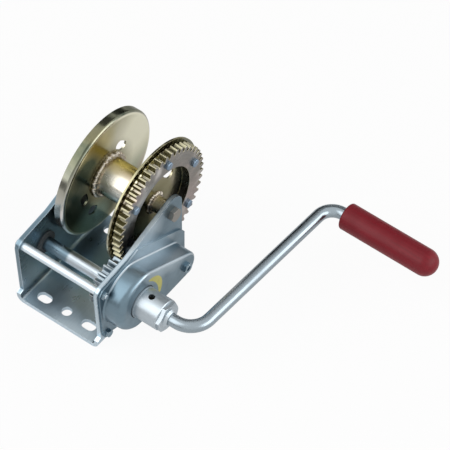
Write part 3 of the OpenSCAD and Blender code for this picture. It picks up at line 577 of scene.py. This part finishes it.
def flange_chromate(name, f):
    """Chromate of both flanges: scorched middle, thin rims, painted shade, highlights and reflections on faces,
    rims and bore.
    """
    gear_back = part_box("right_flange")[1].x / MM
    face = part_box("left_flange")[1].x / MM
    left, right = (X, 0, -10), (X, 0, 10)
    in_bore = (X, gear_back - 0.6, gear_back - 0.3)
    behind_teeth = (X, gear_back - 3.4, gear_back - 2.8)
    bands = (
        ("scorch round the weld", 40, 22, f.scorch, 0.7, ()),
        # Painted highlight along the bend of the left rim.
        ("bright turn of the left rim", 61.8, 62.5, f.cream, 0.95, (left, (X, face - 1.7, face - 0.9))),
        # Silver of the thin chromate at the rims, faded out upwards as painted shade.
        ("thin rims, fading upwards", 63.2, 64.4, f.rim, 1.0, ((Z, 146, 90),)),
        # Painted shade on the top of the left rim.
        ("dark top of the left rim", 63.8, 65, f.shade, 1.0, (left, (Z, 90, 140))),
        # Painted shade behind the gear's teeth.
        ("shade behind the teeth", 57.5, 59, f.shade, 0.8, (behind_teeth, (Y, 45, 70))),
        ("edge of the right flange", 65.4, 66, f.tooth, 0.9, (right,)),
        # Painted shade and a painted highlight line in the gear's bore: dark ring, bright line, dark gap.
        ("dark ring in the bore", 36.5, 39, f.shade, 0.85, (in_bore,)),
        ("bright line in the bore", 41.2, 41.5, f.cream, 0.95, (in_bore,)),
        ("gap round the bore", 42.3, 42.6, f.shade, 0.9, (in_bore,)))
    # Painted reflections on the left flange: light where it mirrors the bright floor, golden-brown where it
    # mirrors the core tube, dark green where it mirrors the shaded inside, blue-green at its foot; painted shade
    # on the right flange inside the gear's bore.
    painted_spots = (
        ("left flange, upper back", -28, 95, 108, 54, f.cream, 0.95),
        ("left flange, top", -28, 32, 140, 34, f.amber, 0.85),
        ("left flange, front", -28, 7, 80, 50, f.shade, 0.95),
        ("left flange, below the core", -28, 48, 46, 30, f.shade, 0.85),
        ("left flange, foot", -28, 20, 40, 34, f.teal, 0.85),
        ("left flange, upper front", -28, 20, 120, 34, f.shade, 0.98),
        ("right flange, upper front", 27, 33, 102, 17, f.shade, 0.92),
        ("right flange, front", 27, 30, 80, 40, f.shade, 0.95))
    return chromate(name, f.gold, f.rose, f.moss, f.gold_rough, 11.0, 0.5, bands=bands, painted_spots=painted_spots)


def tube_chromate(name, f):
    """Pale chromate of the drum's tubes with a painted gold reflection along the core."""
    return chromate(name, f.tube, f.blush, f.gold, f.gold_rough + 0.08, 24.0, 0.3, painted_spots=(
        # Painted reflection along the top of the core.
        ("gold streak", None, 60, 106, 18, f.streak, 1.0),))


def gear_chromate(name, f):
    """Pale lilac faces with gold on the cut teeth and painted shade on the bore's wall."""
    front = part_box("drum_gear")[1].x / MM
    return chromate(name, f.face, f.rose, f.rim, f.gold_rough + 0.1, 16.0, 1.0, wear=0.6, bands=(
        ("cut teeth", 57.4, 58.6, f.tooth, 1.0, ((X, front - 0.2, front - 0.45),)),
        # Painted shade on the wall of the gear's bore.
        ("wall of the bore", 42.5, 42.2, f.shade, 0.95, ())))


def weld_metal(name, f):
    """Lumpy weld under the chromate, with darker rings between the ripples."""
    return chromate(name, f.weld, f.weld_brown, f.weld_dark, 0.3, 260.0, 0.0, wear=0.0)


def black_nylon(name, f):
    """Moulded nylon with a fine satin grain."""
    made, tree, shader, where = new_material(name)
    clouds = place(tree, plating_clouds, Vector=where, Scale=80.0)
    body = blend(tree, clouds["Cloud"], f.nylon, scaled(f.nylon, 2.2))
    coat(tree, shader, body, span(tree, clouds["Grain"], 0.3, 0.7, 0.42, 0.58), clouds["Grain"], 0.12)
    return made


def brake_lining(name, f):
    """Pressed lining with fibres and brass flecks."""
    made, tree, shader, where = new_material(name)
    brass = (0.5, 0.33, 0.12)
    clouds = place(tree, plating_clouds, Vector=where, Scale=120.0)
    fleck = put(tree, "ShaderNodeTexVoronoi", Vector=where, Scale=900.0).outputs["Distance"]
    body = blend(tree, clouds["Cloud"], scaled(f.lining, 0.6), f.lining)
    body = blend(tree, span(tree, fleck, 0.16, 0.1), body, brass)
    coat(tree, shader, body, 0.85, clouds["Grain"], 0.3)
    return made


def grip_vinyl(name, f):
    """Dipped red vinyl: soft mottling, dark streaks, a fine orange-peel skin and a faint mould line in relief,
    darkened as painted shade.
    """
    made, tree, shader, where = new_material(name)
    smudged, scratched = (0.3, 0.05, 0.06), (0.5, 0.2, 0.2)
    line_up, line_half = 1.2 * MM, 0.25 * MM
    clouds = place(tree, plating_clouds, Vector=where, Scale=45.0)
    marks = place(tree, handling_marks, Vector=where)
    streaks = place(tree, drawn_lines, Vector=where, Spread=(14.0, 420.0, 420.0))["Lines"]
    height = put(tree, "ShaderNodeSeparateXYZ", vectors(tree, "SUBTRACT", where, GRIP)).outputs[Z]
    line = maths(tree, "LESS_THAN", maths(tree, "ABSOLUTE", plus(tree, height, -line_up)), line_half)
    body = blend(tree, clouds["Cloud"], scaled(f.vinyl, 0.78), f.vinyl)
    body = over(tree, body, scaled(f.vinyl, 0.5), streaks, 0.45)
    body = over(tree, body, smudged, marks["Smudge"], 0.1)
    body = over(tree, body, scratched, marks["Scratch"], 0.12)
    # Painted shade: the line darkens where the grip's lit top meets its shaded underside.
    body = over(tree, body, scaled(f.vinyl, 0.45), line, 0.3)
    skin = plus(tree, clouds["Grain"], maths(tree, "SUBTRACT", streaks, line))
    coat(tree, shader, body, span(tree, clouds["Cloud"], 0.0, 1.0, 0.46, 0.36), skin, 0.14)
    shader.inputs["Specular IOR Level"].default_value = 0.28
    return made


def mark_paint(name, f):
    """Thin yellow paint, slightly uneven and scratched."""
    made, tree, shader, where = new_material(name)
    scratched = (0.6, 0.6, 0.55)
    clouds = place(tree, plating_clouds, Vector=where, Scale=140.0)
    marks = place(tree, handling_marks, Vector=where)
    body = blend(tree, clouds["Cloud"], scaled(f.mark, 0.8), f.mark)
    body = over(tree, body, scratched, marks["Scratch"], 0.5)
    coat(tree, shader, body, span(tree, clouds["Cloud"], 0.0, 1.0, 0.5, 0.38), clouds["Grain"], 0.1)
    return made


FINISHES = {make.__name__: make for make in (
    sheet_zinc, cover_zinc, shaft_zinc, pinion_zinc, flange_chromate, tube_chromate, gear_chromate, weld_metal,
    black_nylon, brake_lining, grip_vinyl, mark_paint)}


def finish(name):
    """The named finish, made the first time that a piece asks for it."""
    made = bpy.data.materials.get(name)
    return made if made else FINISHES.get(name, plain_plating)(name, settings().finishes)


# Pieces

MERGE_WITHIN = 0.002 * MM
FLAT, SOFTEN_PAST, SHARP_PAST = math.radians(0.4), math.radians(28), math.radians(40)
# Rounded ends of a rivet: steps from the end along it and steps in from its side
RIVET_HEAD = ((3.0, 0.0), (1.4, 0.6), (0.5, 1.8), (0.0, 3.4))
RIVET_TAIL = ((0.0, 2.0), (0.5, 0.6), (1.4, 0.0))
HEAD_SIDES, TAIL_SIDES = 6, 32
RIVET_EDGE, RIVET_SHARP = math.radians(50), math.radians(35)
# Ripples of a bead: fewest, range of sizes, lean either way, tilt, width and height for a length of one
FEWEST_RIPPLES, SMALLEST, LARGEST, LEAN, TILT = 8, 0.62, 1.2, 0.5, 0.35
RIPPLE_WIDTH, RIPPLE_HEIGHT = 0.55, 0.8
RUN_SHARE = 0.38  # radius of the run under the ripples, as a share of the bead's width
# Section of the painted mark: share of the film's thickness and of its half width
MARK_SECTION = ((0.2, -1), (1, -0.94), (1, 0.94), (0.2, 1))
MARK_STEPS, MARK_FULLNESS = 32, 0.8


def new_object(name, data):
    """A new object in the scene."""
    made = bpy.data.objects.new(name, data)
    bpy.context.scene.collection.objects.link(made)
    return made


def show(mesh, name, finish_name, body):
    """A finished piece that rides on a body."""
    piece = new_object(name, mesh)
    mesh.materials.clear()
    mesh.materials.append(finish(finish_name))
    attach(piece, body)
    return piece


def evaluated(piece):
    """Plain mesh of an object with its modifiers applied."""
    bpy.context.view_layer.update()
    graph = bpy.context.evaluated_depsgraph_get()
    return bpy.data.meshes.new_from_object(piece.evaluated_get(graph), depsgraph=graph)


def poured(bm, mesh):
    """Moves an edit mesh into a mesh."""
    bm.to_mesh(mesh)
    bm.free()
    return mesh


def rounded(node, width, past):
    """Plain mesh of a CAD node with rounded edges."""
    mesh = frame["nodes"][node].data.copy()
    mesh.name = node + "_soft"
    bm = bmesh.new()
    bm.from_mesh(mesh)
    bmesh.ops.remove_doubles(bm, verts=bm.verts, dist=MERGE_WITHIN)
    bmesh.ops.dissolve_limit(bm, angle_limit=FLAT, verts=bm.verts, edges=bm.edges)
    wear = bm.faces.layers.float.new("edge_wear")
    edges = [e for e in bm.edges if len(e.link_faces) == 2 and e.calc_face_angle() > past]
    if width and edges:
        made = bmesh.ops.bevel(bm, geom=edges, offset=width, offset_type="OFFSET", segments=2, profile=0.5,
                               affect="EDGES", clamp_overlap=True)
        for face in made["faces"]:
            face[wear] = 1.0
    for face in bm.faces:
        face.smooth = True
    poured(bm, mesh).set_sharp_from_angle(angle=SHARP_PAST)
    holder = new_object("holder", mesh)
    holder.modifiers.new("even", "WEIGHTED_NORMAL").keep_sharp = True
    done = evaluated(holder)
    bpy.data.objects.remove(holder)
    return done


def soften(width, finish_name, *nodes, past=SOFTEN_PAST):
    """Copies of CAD nodes with rounded edges, which stand for the nodes."""
    for node in nodes:
        piece = show(rounded(node, width, past), node + "_finish", finish_name, BODY_OF[node])
        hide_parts(node)


def repaint(finish_name, *nodes):
    """Gives CAD nodes that stay a finish of their own."""
    for node in nodes:
        materials = frame["nodes"][node].data.materials
        materials.clear()
        materials.append(finish(finish_name))


def geometry_tree(name, *inputs):
    """Empty geometry tree with named inputs."""
    tree = bpy.data.node_groups.new(name, "GeometryNodeTree")
    add_sockets(tree, "INPUT", inputs)
    add_sockets(tree, "OUTPUT", ("Geometry",))
    return tree, tree.nodes.new("NodeGroupInput").outputs


def ended(tree, geometry, given, **turn):
    """Ends a geometry tree: real instances, turned, set at their centre and given their material."""
    real = put(tree, "GeometryNodeRealizeInstances", geometry)
    moved = put(tree, "GeometryNodeTransform", Geometry=real, Translation=given["Centre"], **turn)
    done = put(tree, "GeometryNodeSetMaterial", Geometry=moved, Material=given["Material"])
    put(tree, "NodeGroupOutput", done)
    return tree


def grown(tree, name, **values):
    """Plain mesh that a geometry tree makes from the given values."""
    holder = new_object(name, bpy.data.meshes.new(name))
    modifier = holder.modifiers.new("grow", "NODES")
    modifier.node_group = tree
    for item in tree.interface.items_tree:
        if item.item_type == "SOCKET" and item.in_out == "INPUT":
            modifier[item.identifier] = values[item.name.replace(" ", "_").lower()]
    mesh = evaluated(holder)
    bpy.data.objects.remove(holder)
    if not mesh.polygons:
        raise RuntimeError(name + " came out empty")
    for face in mesh.polygons:
        face.use_smooth = True
    return mesh


def chance(tree, seed, low, high):
    """A seeded random number for each point."""
    node = put(tree, "FunctionNodeRandomValue", data_type="FLOAT", Seed=seed)
    node.inputs[2].default_value, node.inputs[3].default_value = low, high
    return node.outputs[1]


def steps_round(tree, number):
    """The angle of each point of a full turn in equal steps."""
    return times(tree, put(tree, "GeometryNodeInputIndex"), maths(tree, "DIVIDE", math.tau, number))


def bead_tree():
    """Weld bead: a round run with overlapping, uneven ripples about an axis along X."""
    tree = bpy.data.node_groups.get("Weld bead")
    if tree:
        return tree
    tree, given = geometry_tree("Weld bead", "Centre", "Radius", "Size", "Ripples", "Seed", "Material")
    points = put(tree, "GeometryNodeMeshCircle", Vertices=given["Ripples"], Radius=given["Radius"])
    lean = chance(tree, given["Seed"], -LEAN, LEAN)
    size = chance(tree, given["Seed"], SMALLEST, LARGEST)
    ball = put(tree, "GeometryNodeMeshIcoSphere", Radius=times(tree, given["Size"], 0.5), Subdivisions=3)
    squash = put(tree, "ShaderNodeCombineXYZ", size, times(tree, size, RIPPLE_WIDTH),
                 times(tree, size, RIPPLE_HEIGHT))
    rotate = put(tree, "ShaderNodeCombineXYZ", TILT, lean, steps_round(tree, given["Ripples"]))
    ripples = put(tree, "GeometryNodeInstanceOnPoints", Points=points, Instance=ball, Rotation=rotate,
                  Scale=squash)
    line = put(tree, "GeometryNodeCurvePrimitiveCircle", Resolution=96, Radius=given["Radius"])
    section = put(tree, "GeometryNodeCurvePrimitiveCircle", Resolution=14,
                  Radius=times(tree, given["Size"], RUN_SHARE))
    run = put(tree, "GeometryNodeCurveToMesh", line, section)
    both = tree.nodes.new("GeometryNodeJoinGeometry")
    for source in (ripples, run):
        tree.links.new(source.outputs[0], both.inputs[0])
    return ended(tree, both, given, Rotation=(0.0, math.pi / 2, 0.0))


def rivet_tree():
    """Ring of equal rivets about an axis along X."""
    tree, given = geometry_tree(
        "Rivet ring", "Centre", "Circle Radius", "Count", "First Angle", "Rivet", "Material")
    turn = plus(tree, steps_round(tree, given["Count"]), given["First Angle"])
    line = put(tree, "GeometryNodeMeshLine", Count=given["Count"])
    spot = put(tree, "ShaderNodeCombineXYZ", 0.0,
               times(tree, maths(tree, "COSINE", turn), given["Circle Radius"]),
               times(tree, maths(tree, "SINE", turn), given["Circle Radius"]))
    points = put(tree, "GeometryNodeSetPosition", Geometry=line, Position=spot)
    source = put(tree, "GeometryNodeObjectInfo", Object=given["Rivet"]).outputs["Geometry"]
    return ended(tree, put(tree, "GeometryNodeInstanceOnPoints", Points=points, Instance=source), given)


def radius_of(node):
    """Radius of a CAD node that is round about an axis along X."""
    low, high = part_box(node)
    return 0.5 * (high.z - low.z)


def skinned(bm, rings):
    """Closes a row of equal rings of points into a solid."""
    for a, b in zip(rings, rings[1:]):
        for i in range(len(a)):
            j = (i + 1) % len(a)
            bm.faces.new((a[i], a[j], b[j], b[i]))
    bm.faces.new(rings[0])
    bm.faces.new(reversed(rings[-1]))
    bmesh.ops.recalc_face_normals(bm, faces=bm.faces)


def turned_solid(bm, stations, sides):
    """Solid about the X axis through (place, radius) stations; six sides make a hexagon."""
    turns = [math.tau * i / sides for i in range(sides)]
    skinned(bm, [[bm.verts.new((x, r * math.cos(t), r * math.sin(t))) for t in turns] for x, r in stations])


class WINCH_OT_sheet(bpy.types.Operator):
    """Softens the bent frame and the stamped brake cover"""
    bl_idname = "winch.sheet"
    bl_label = "Frame and cover"

    def execute(self, context):
        width = settings().edges.sheet
        soften(width, "sheet_zinc", "frame")
        soften(width, "cover_zinc", "brake_cover", past=SHARP_PAST)
        return {"FINISHED"}


class WINCH_OT_fasteners(bpy.types.Operator):
    """Softens the bolts, nuts, washers, bushes and clips"""
    bl_idname = "winch.fasteners"
    bl_label = "Bolts, nuts and bushes"

    def execute(self, context):
        width = settings().edges.nut
        soften(width, "nut_zinc", "tie_rod_nuts", "cover_screw", "pawl_bolt")
        soften(width, "dark_steel", "axle_bolt", "axle_nut", "shaft_clip")
        soften(width, "bright_zinc", "axle_washers")
        soften(width, "black_nylon", "left_bush", "right_bush")
        return {"FINISHED"}


class WINCH_OT_brake(bpy.types.Operator):
    """Finishes the brake inside the cover, the hub's set screw and the grip's retainer"""
    bl_idname = "winch.brake"
    bl_label = "Brake pieces"

    def execute(self, context):
        repaint("dark_steel", "ratchet_wheel", "pawl", "pressure_plate", "grip_retainer")
        repaint("black_oxide", "hub_set_screw")
        repaint("bright_zinc", "pawl_spring", "pawl_spacer")
        repaint("brake_lining", "friction_discs")
        return {"FINISHED"}


class WINCH_OT_drum(bpy.types.Operator):
    """Softens the drum's tubes and flanges"""
    bl_idname = "winch.drum"
    bl_label = "Drum"

    def execute(self, context):
        width = settings().edges.turned
        soften(width, "flange_chromate", "left_flange", "right_flange")
        soften(width, "tube_chromate", "core_tube", "bearing_tube")
        return {"FINISHED"}


class WINCH_OT_gears(bpy.types.Operator):
    """Softens the drum gear and the pinion"""
    bl_idname = "winch.gears"
    bl_label = "Gears"

    def execute(self, context):
        width = settings().edges.tooth
        soften(width, "gear_chromate", "drum_gear")
        soften(width, "pinion_zinc", "pinion")
        return {"FINISHED"}


class WINCH_OT_rivets(bpy.types.Operator):
    """Makes the ring of hexagon rivets that hold the gear to its flange"""
    bl_idname = "winch.rivets"
    bl_label = "Gear rivets"

    def execute(self, context):
        r = settings().rivets
        low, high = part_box("gear_rivets")
        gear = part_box("drum_gear")[1].x
        head = [(high.x - along * r.crown, r.head - inward * r.crown) for along, inward in RIVET_HEAD]
        tail = [(low.x + along * r.crown, r.tail - inward * r.crown) for along, inward in RIVET_TAIL]
        bm = bmesh.new()
        turned_solid(bm, [(gear, r.head), *head], HEAD_SIDES)
        turned_solid(bm, [*tail, (low.x + r.tail_height, r.tail)], TAIL_SIDES)
        edges = [e for e in bm.edges if e.calc_face_angle(0) > RIVET_EDGE]
        bmesh.ops.bevel(bm, geom=edges, offset=r.edge, segments=2, profile=0.5, affect="EDGES",
                        clamp_overlap=True)
        for vert in bm.verts:
            vert.co.x -= gear
        rivet = new_object("rivet", poured(bm, bpy.data.meshes.new("rivet")))
        made = grown(rivet_tree(), "rivets", centre=(gear, AXLE.y, AXLE.z), circle_radius=r.circle,
                     count=r.number, first_angle=r.first, rivet=rivet, material=finish("rivet_zinc"))
        bpy.data.objects.remove(rivet)
        made.set_sharp_from_angle(angle=RIVET_SHARP)
        piece = show(made, "gear_rivets_finish", "rivet_zinc", BODY_OF["gear_rivets"])
        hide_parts("gear_rivets")
        return {"FINISHED"}


class WINCH_OT_welds(bpy.types.Operator):
    """Lays the weld beads that join the drum's tubes to its flanges"""
    bl_idname = "winch.welds"
    bl_label = "Weld beads"

    def execute(self, context):
        w = settings().welds
        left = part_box("left_flange")[1].x
        right, outer = (corner.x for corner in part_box("right_flange"))
        core, bearing = radius_of("core_tube"), radius_of("bearing_tube")
        for name, x, tube, size in (
                ("weld_left", left + w.left_off, core, w.core_size),
                ("weld_right", right + w.right_in, core, w.core_size),
                ("weld_bearing", outer, bearing, w.hub_size),
                ("weld_bearing_left", left - w.hub_in, bearing, w.hub_size)):
            radius = tube + w.stand * size
            mesh = grown(bead_tree(), name, centre=(x, AXLE.y, AXLE.z), radius=radius, size=size,
                         ripples=max(FEWEST_RIPPLES, round(math.tau * radius / w.ripple)), seed=w.seed,
                         material=finish("weld_metal"))
            show(mesh, name, "weld_metal", "drum")
        return {"FINISHED"}


class WINCH_OT_crank(bpy.types.Operator):
    """Softens the tie rod, the crank shaft, the hub and the bent handle"""
    bl_idname = "winch.crank"
    bl_label = "Rods, hub and handle"

    def execute(self, context):
        width = settings().edges.turned
        soften(width, "rod_zinc", "front_tie_rod")
        soften(width, "shaft_zinc", "drive_shaft")
        soften(width, "hub_zinc", "crank_hub")
        soften(width, "arm_zinc", "crank_handle")
        return {"FINISHED"}


class WINCH_OT_grip(bpy.types.Operator):
    """Softens the moulded grip"""
    bl_idname = "winch.grip"
    bl_label = "Grip"

    def execute(self, context):
        soften(settings().edges.turned, "grip_vinyl", "grip")
        return {"FINISHED"}


class WINCH_OT_mark(bpy.types.Operator):
    """Paints the crescent that shows which way to turn"""
    bl_idname = "winch.mark"
    bl_label = "Turning mark"

    def execute(self, context):
        m = settings().mark
        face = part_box("brake_cover")[1].x
        bm = bmesh.new()
        rows = []
        for i in range(MARK_STEPS + 1):
            along = i / MARK_STEPS
            half = m.tip + m.belly * math.sin(math.pi * along) ** MARK_FULLNESS
            middle = m.radius + m.drift * along
            turn = m.start + (m.end - m.start) * along
            out = Vector((0, math.cos(turn), math.sin(turn)))
            rows.append([
                bm.verts.new(Vector((face + lift * m.film, CRANK.y, CRANK.z)) + (middle + side * half) * out)
                for lift, side in MARK_SECTION])
        skinned(bm, rows)
        show(poured(bm, bpy.data.meshes.new("turn_arrow")), "turn_arrow", "mark_paint", "frame")
        return {"FINISHED"}


# Stage

SENSOR_MM = 36.0
FLOOR_HALF, FLOOR_GAP = 6.0, 0.2 * MM
FACING_Y, FACING_X = (math.pi / 2, 0.0, 0.0), (math.pi / 2, 0.0, math.pi / 2)
# Cards that only reflections see: name, place from the target, half size, turn, tone
CARDS = (
    ("ceiling", (-1.1, 2.2, 2.0), (1.3, 0.95), (0.0, 0.0, 0.0), 0.25),
    ("front_wall", (-0.9, -2.6, -1.05), (1.6, 1.6), FACING_Y, 0.5),
    ("left_wall", (-2.3, 1.5, 0.95), (1.3, 1.05), FACING_X, 0.02),
    ("back_wall", (-1.0, 2.4, 0.5), (1.0, 0.55), FACING_Y, 0.12))
# Soft boxes: name, place from the target, size
LAMPS = (("key", (-1.1, -1.2, 1.5), (2.3, 2.3)), ("fill", (1.9, 0.6, 0.95), (2.6, 1.5)))


def aim_camera(s):
    """Camera at the photograph's angle."""
    level = math.cos(s.elevation)
    back = Vector((math.sin(s.azimuth) * level, -math.cos(s.azimuth) * level, math.sin(s.elevation)))
    right = Vector((0, 0, 1)).cross(back).normalized()
    up = back.cross(right)
    right, up = (math.cos(s.roll) * right + math.sin(s.roll) * up,
                 math.cos(s.roll) * up - math.sin(s.roll) * right)
    data = bpy.data.cameras.new("camera")
    data.lens, data.sensor_width = s.lens, SENSOR_MM
    camera = new_object("camera", data)
    spot = s.target + s.aside * right + s.above * up + s.distance * back
    camera.matrix_world = Matrix.Translation(spot) @ Matrix((right, up, back)).transposed().to_4x4()
    return camera


def white_room(s):
    """Even room light that the camera, gloss and glass see as white."""
    world, tree = emptied(bpy.data.worlds.new("room"))
    path = tree.nodes.new("ShaderNodeLightPath").outputs
    seen = maths(tree, "MAXIMUM", path["Is Camera Ray"],
                 maths(tree, "MAXIMUM", path["Is Glossy Ray"], path["Is Transmission Ray"]))
    level = span(tree, seen, 0.0, 1.0, s.world_level, 1.0)
    put(tree, "ShaderNodeOutputWorld",
        put(tree, "ShaderNodeBackground", Color=(1.0, 1.0, 1.0), Strength=level))
    return world


def floor_paper(s):
    """Pale paper that keeps a soft shadow."""
    made, tree = emptied(bpy.data.materials.new("floor_paper"))
    paper = put(tree, "ShaderNodeBsdfDiffuse", Color=s.floor)
    glow = put(tree, "ShaderNodeEmission", Color=(1.0, 1.0, 1.0), Strength=1.0)
    path = tree.nodes.new("ShaderNodeLightPath").outputs
    seen = maths(tree, "MAXIMUM", path["Is Camera Ray"], path["Is Transmission Ray"])
    white = maths(tree, "MAXIMUM", times(tree, seen, s.floor_seen),
                  times(tree, path["Is Glossy Ray"], s.floor_gloss))
    put(tree, "ShaderNodeOutputMaterial", put(tree, "ShaderNodeMixShader", white, paper, glow))
    return made


def card_cloth(name, tone):
    """Dull grey cloth of a card."""
    made = bpy.data.materials.new(name)
    made.use_nodes = True
    shader = made.node_tree.nodes["Principled BSDF"]
    shader.inputs["Base Color"].default_value = (tone, tone, tone, 1)
    shader.inputs["Roughness"].default_value = 1.0
    return made


def plane(name, half_x, half_y, material):
    """Flat sheet about its middle."""
    mesh = bpy.data.meshes.new(name)
    corners = [(x * half_x, y * half_y, 0) for x, y in ((-1, -1), (1, -1), (1, 1), (-1, 1))]
    mesh.from_pydata(corners, [], [(0, 1, 2, 3)])
    mesh.materials.append(material)
    return new_object(name, mesh)


class WINCH_OT_stage(bpy.types.Operator):
    """Sets the pale floor, the soft studio light and the camera"""
    bl_idname = "winch.stage"
    bl_label = "Stage"

    def execute(self, context):
        s = settings().stage
        scene = context.scene
        scene.view_settings.view_transform = "Standard"
        scene.camera = aim_camera(s)
        scene.world = white_room(s)
        floor = plane("floor", FLOOR_HALF, FLOOR_HALF, floor_paper(s))
        floor.location.z = -FLOOR_GAP
        for name, way, half, turn, tone in CARDS:
            card = plane(name, *half, card_cloth(name + "_cloth", tone))
            card.location = s.target + Vector(way)
            card.rotation_euler = turn
            card.visible_camera = card.visible_diffuse = card.visible_shadow = False
        for name, way, size in LAMPS:
            lamp = bpy.data.lights.new(name, "AREA")
            lamp.shape, lamp.energy = "RECTANGLE", getattr(s, name + "_power")
            lamp.size, lamp.size_y = size
            holder = new_object(name, lamp)
            holder.location = s.target + Vector(way)
            holder.rotation_euler = (-Vector(way)).to_track_quat("-Z", "Y").to_euler()
        return {"FINISHED"}


OPERATORS = (WINCH_OT_sheet, WINCH_OT_fasteners, WINCH_OT_brake, WINCH_OT_drum, WINCH_OT_gears, WINCH_OT_rivets,
             WINCH_OT_welds, WINCH_OT_crank, WINCH_OT_grip, WINCH_OT_mark, WINCH_OT_stage)


class WINCH_PT_sidebar(bpy.types.Panel):
    """Lists the winch's pieces and their settings"""
    bl_idname = "WINCH_PT_sidebar"
    bl_label = "Winch"
    bl_space_type = "VIEW_3D"
    bl_region_type = "UI"
    bl_category = "Winch"

    def draw(self, context):
        for name in self.keys_of(settings()):
            box = self.layout.box()
            values = getattr(settings(), name)
            for key in self.keys_of(values):
                box.prop(values, key)
        for operator in OPERATORS:
            self.layout.operator(operator.bl_idname)

    @staticmethod
    def keys_of(values):
        return [key for key in values.bl_rna.properties.keys() if key not in ("rna_type", "name")]


CLASSES = (WinchFinishes, WinchEdges, WinchRivets, WinchWelds, WinchMark, WinchStage, WinchSettings, *OPERATORS,
           WINCH_PT_sidebar)


def register():
    for item in CLASSES:
        bpy.utils.register_class(item)
    bpy.types.Scene.winch = part(WinchSettings)


def unregister():
    del bpy.types.Scene.winch
    for item in reversed(CLASSES):
        bpy.utils.unregister_class(item)


def main():
    register()
    for operator in OPERATORS:
        space, name = operator.bl_idname.split(".")
        getattr(getattr(bpy.ops, space), name)()


if __name__ == "__main__":
    main()
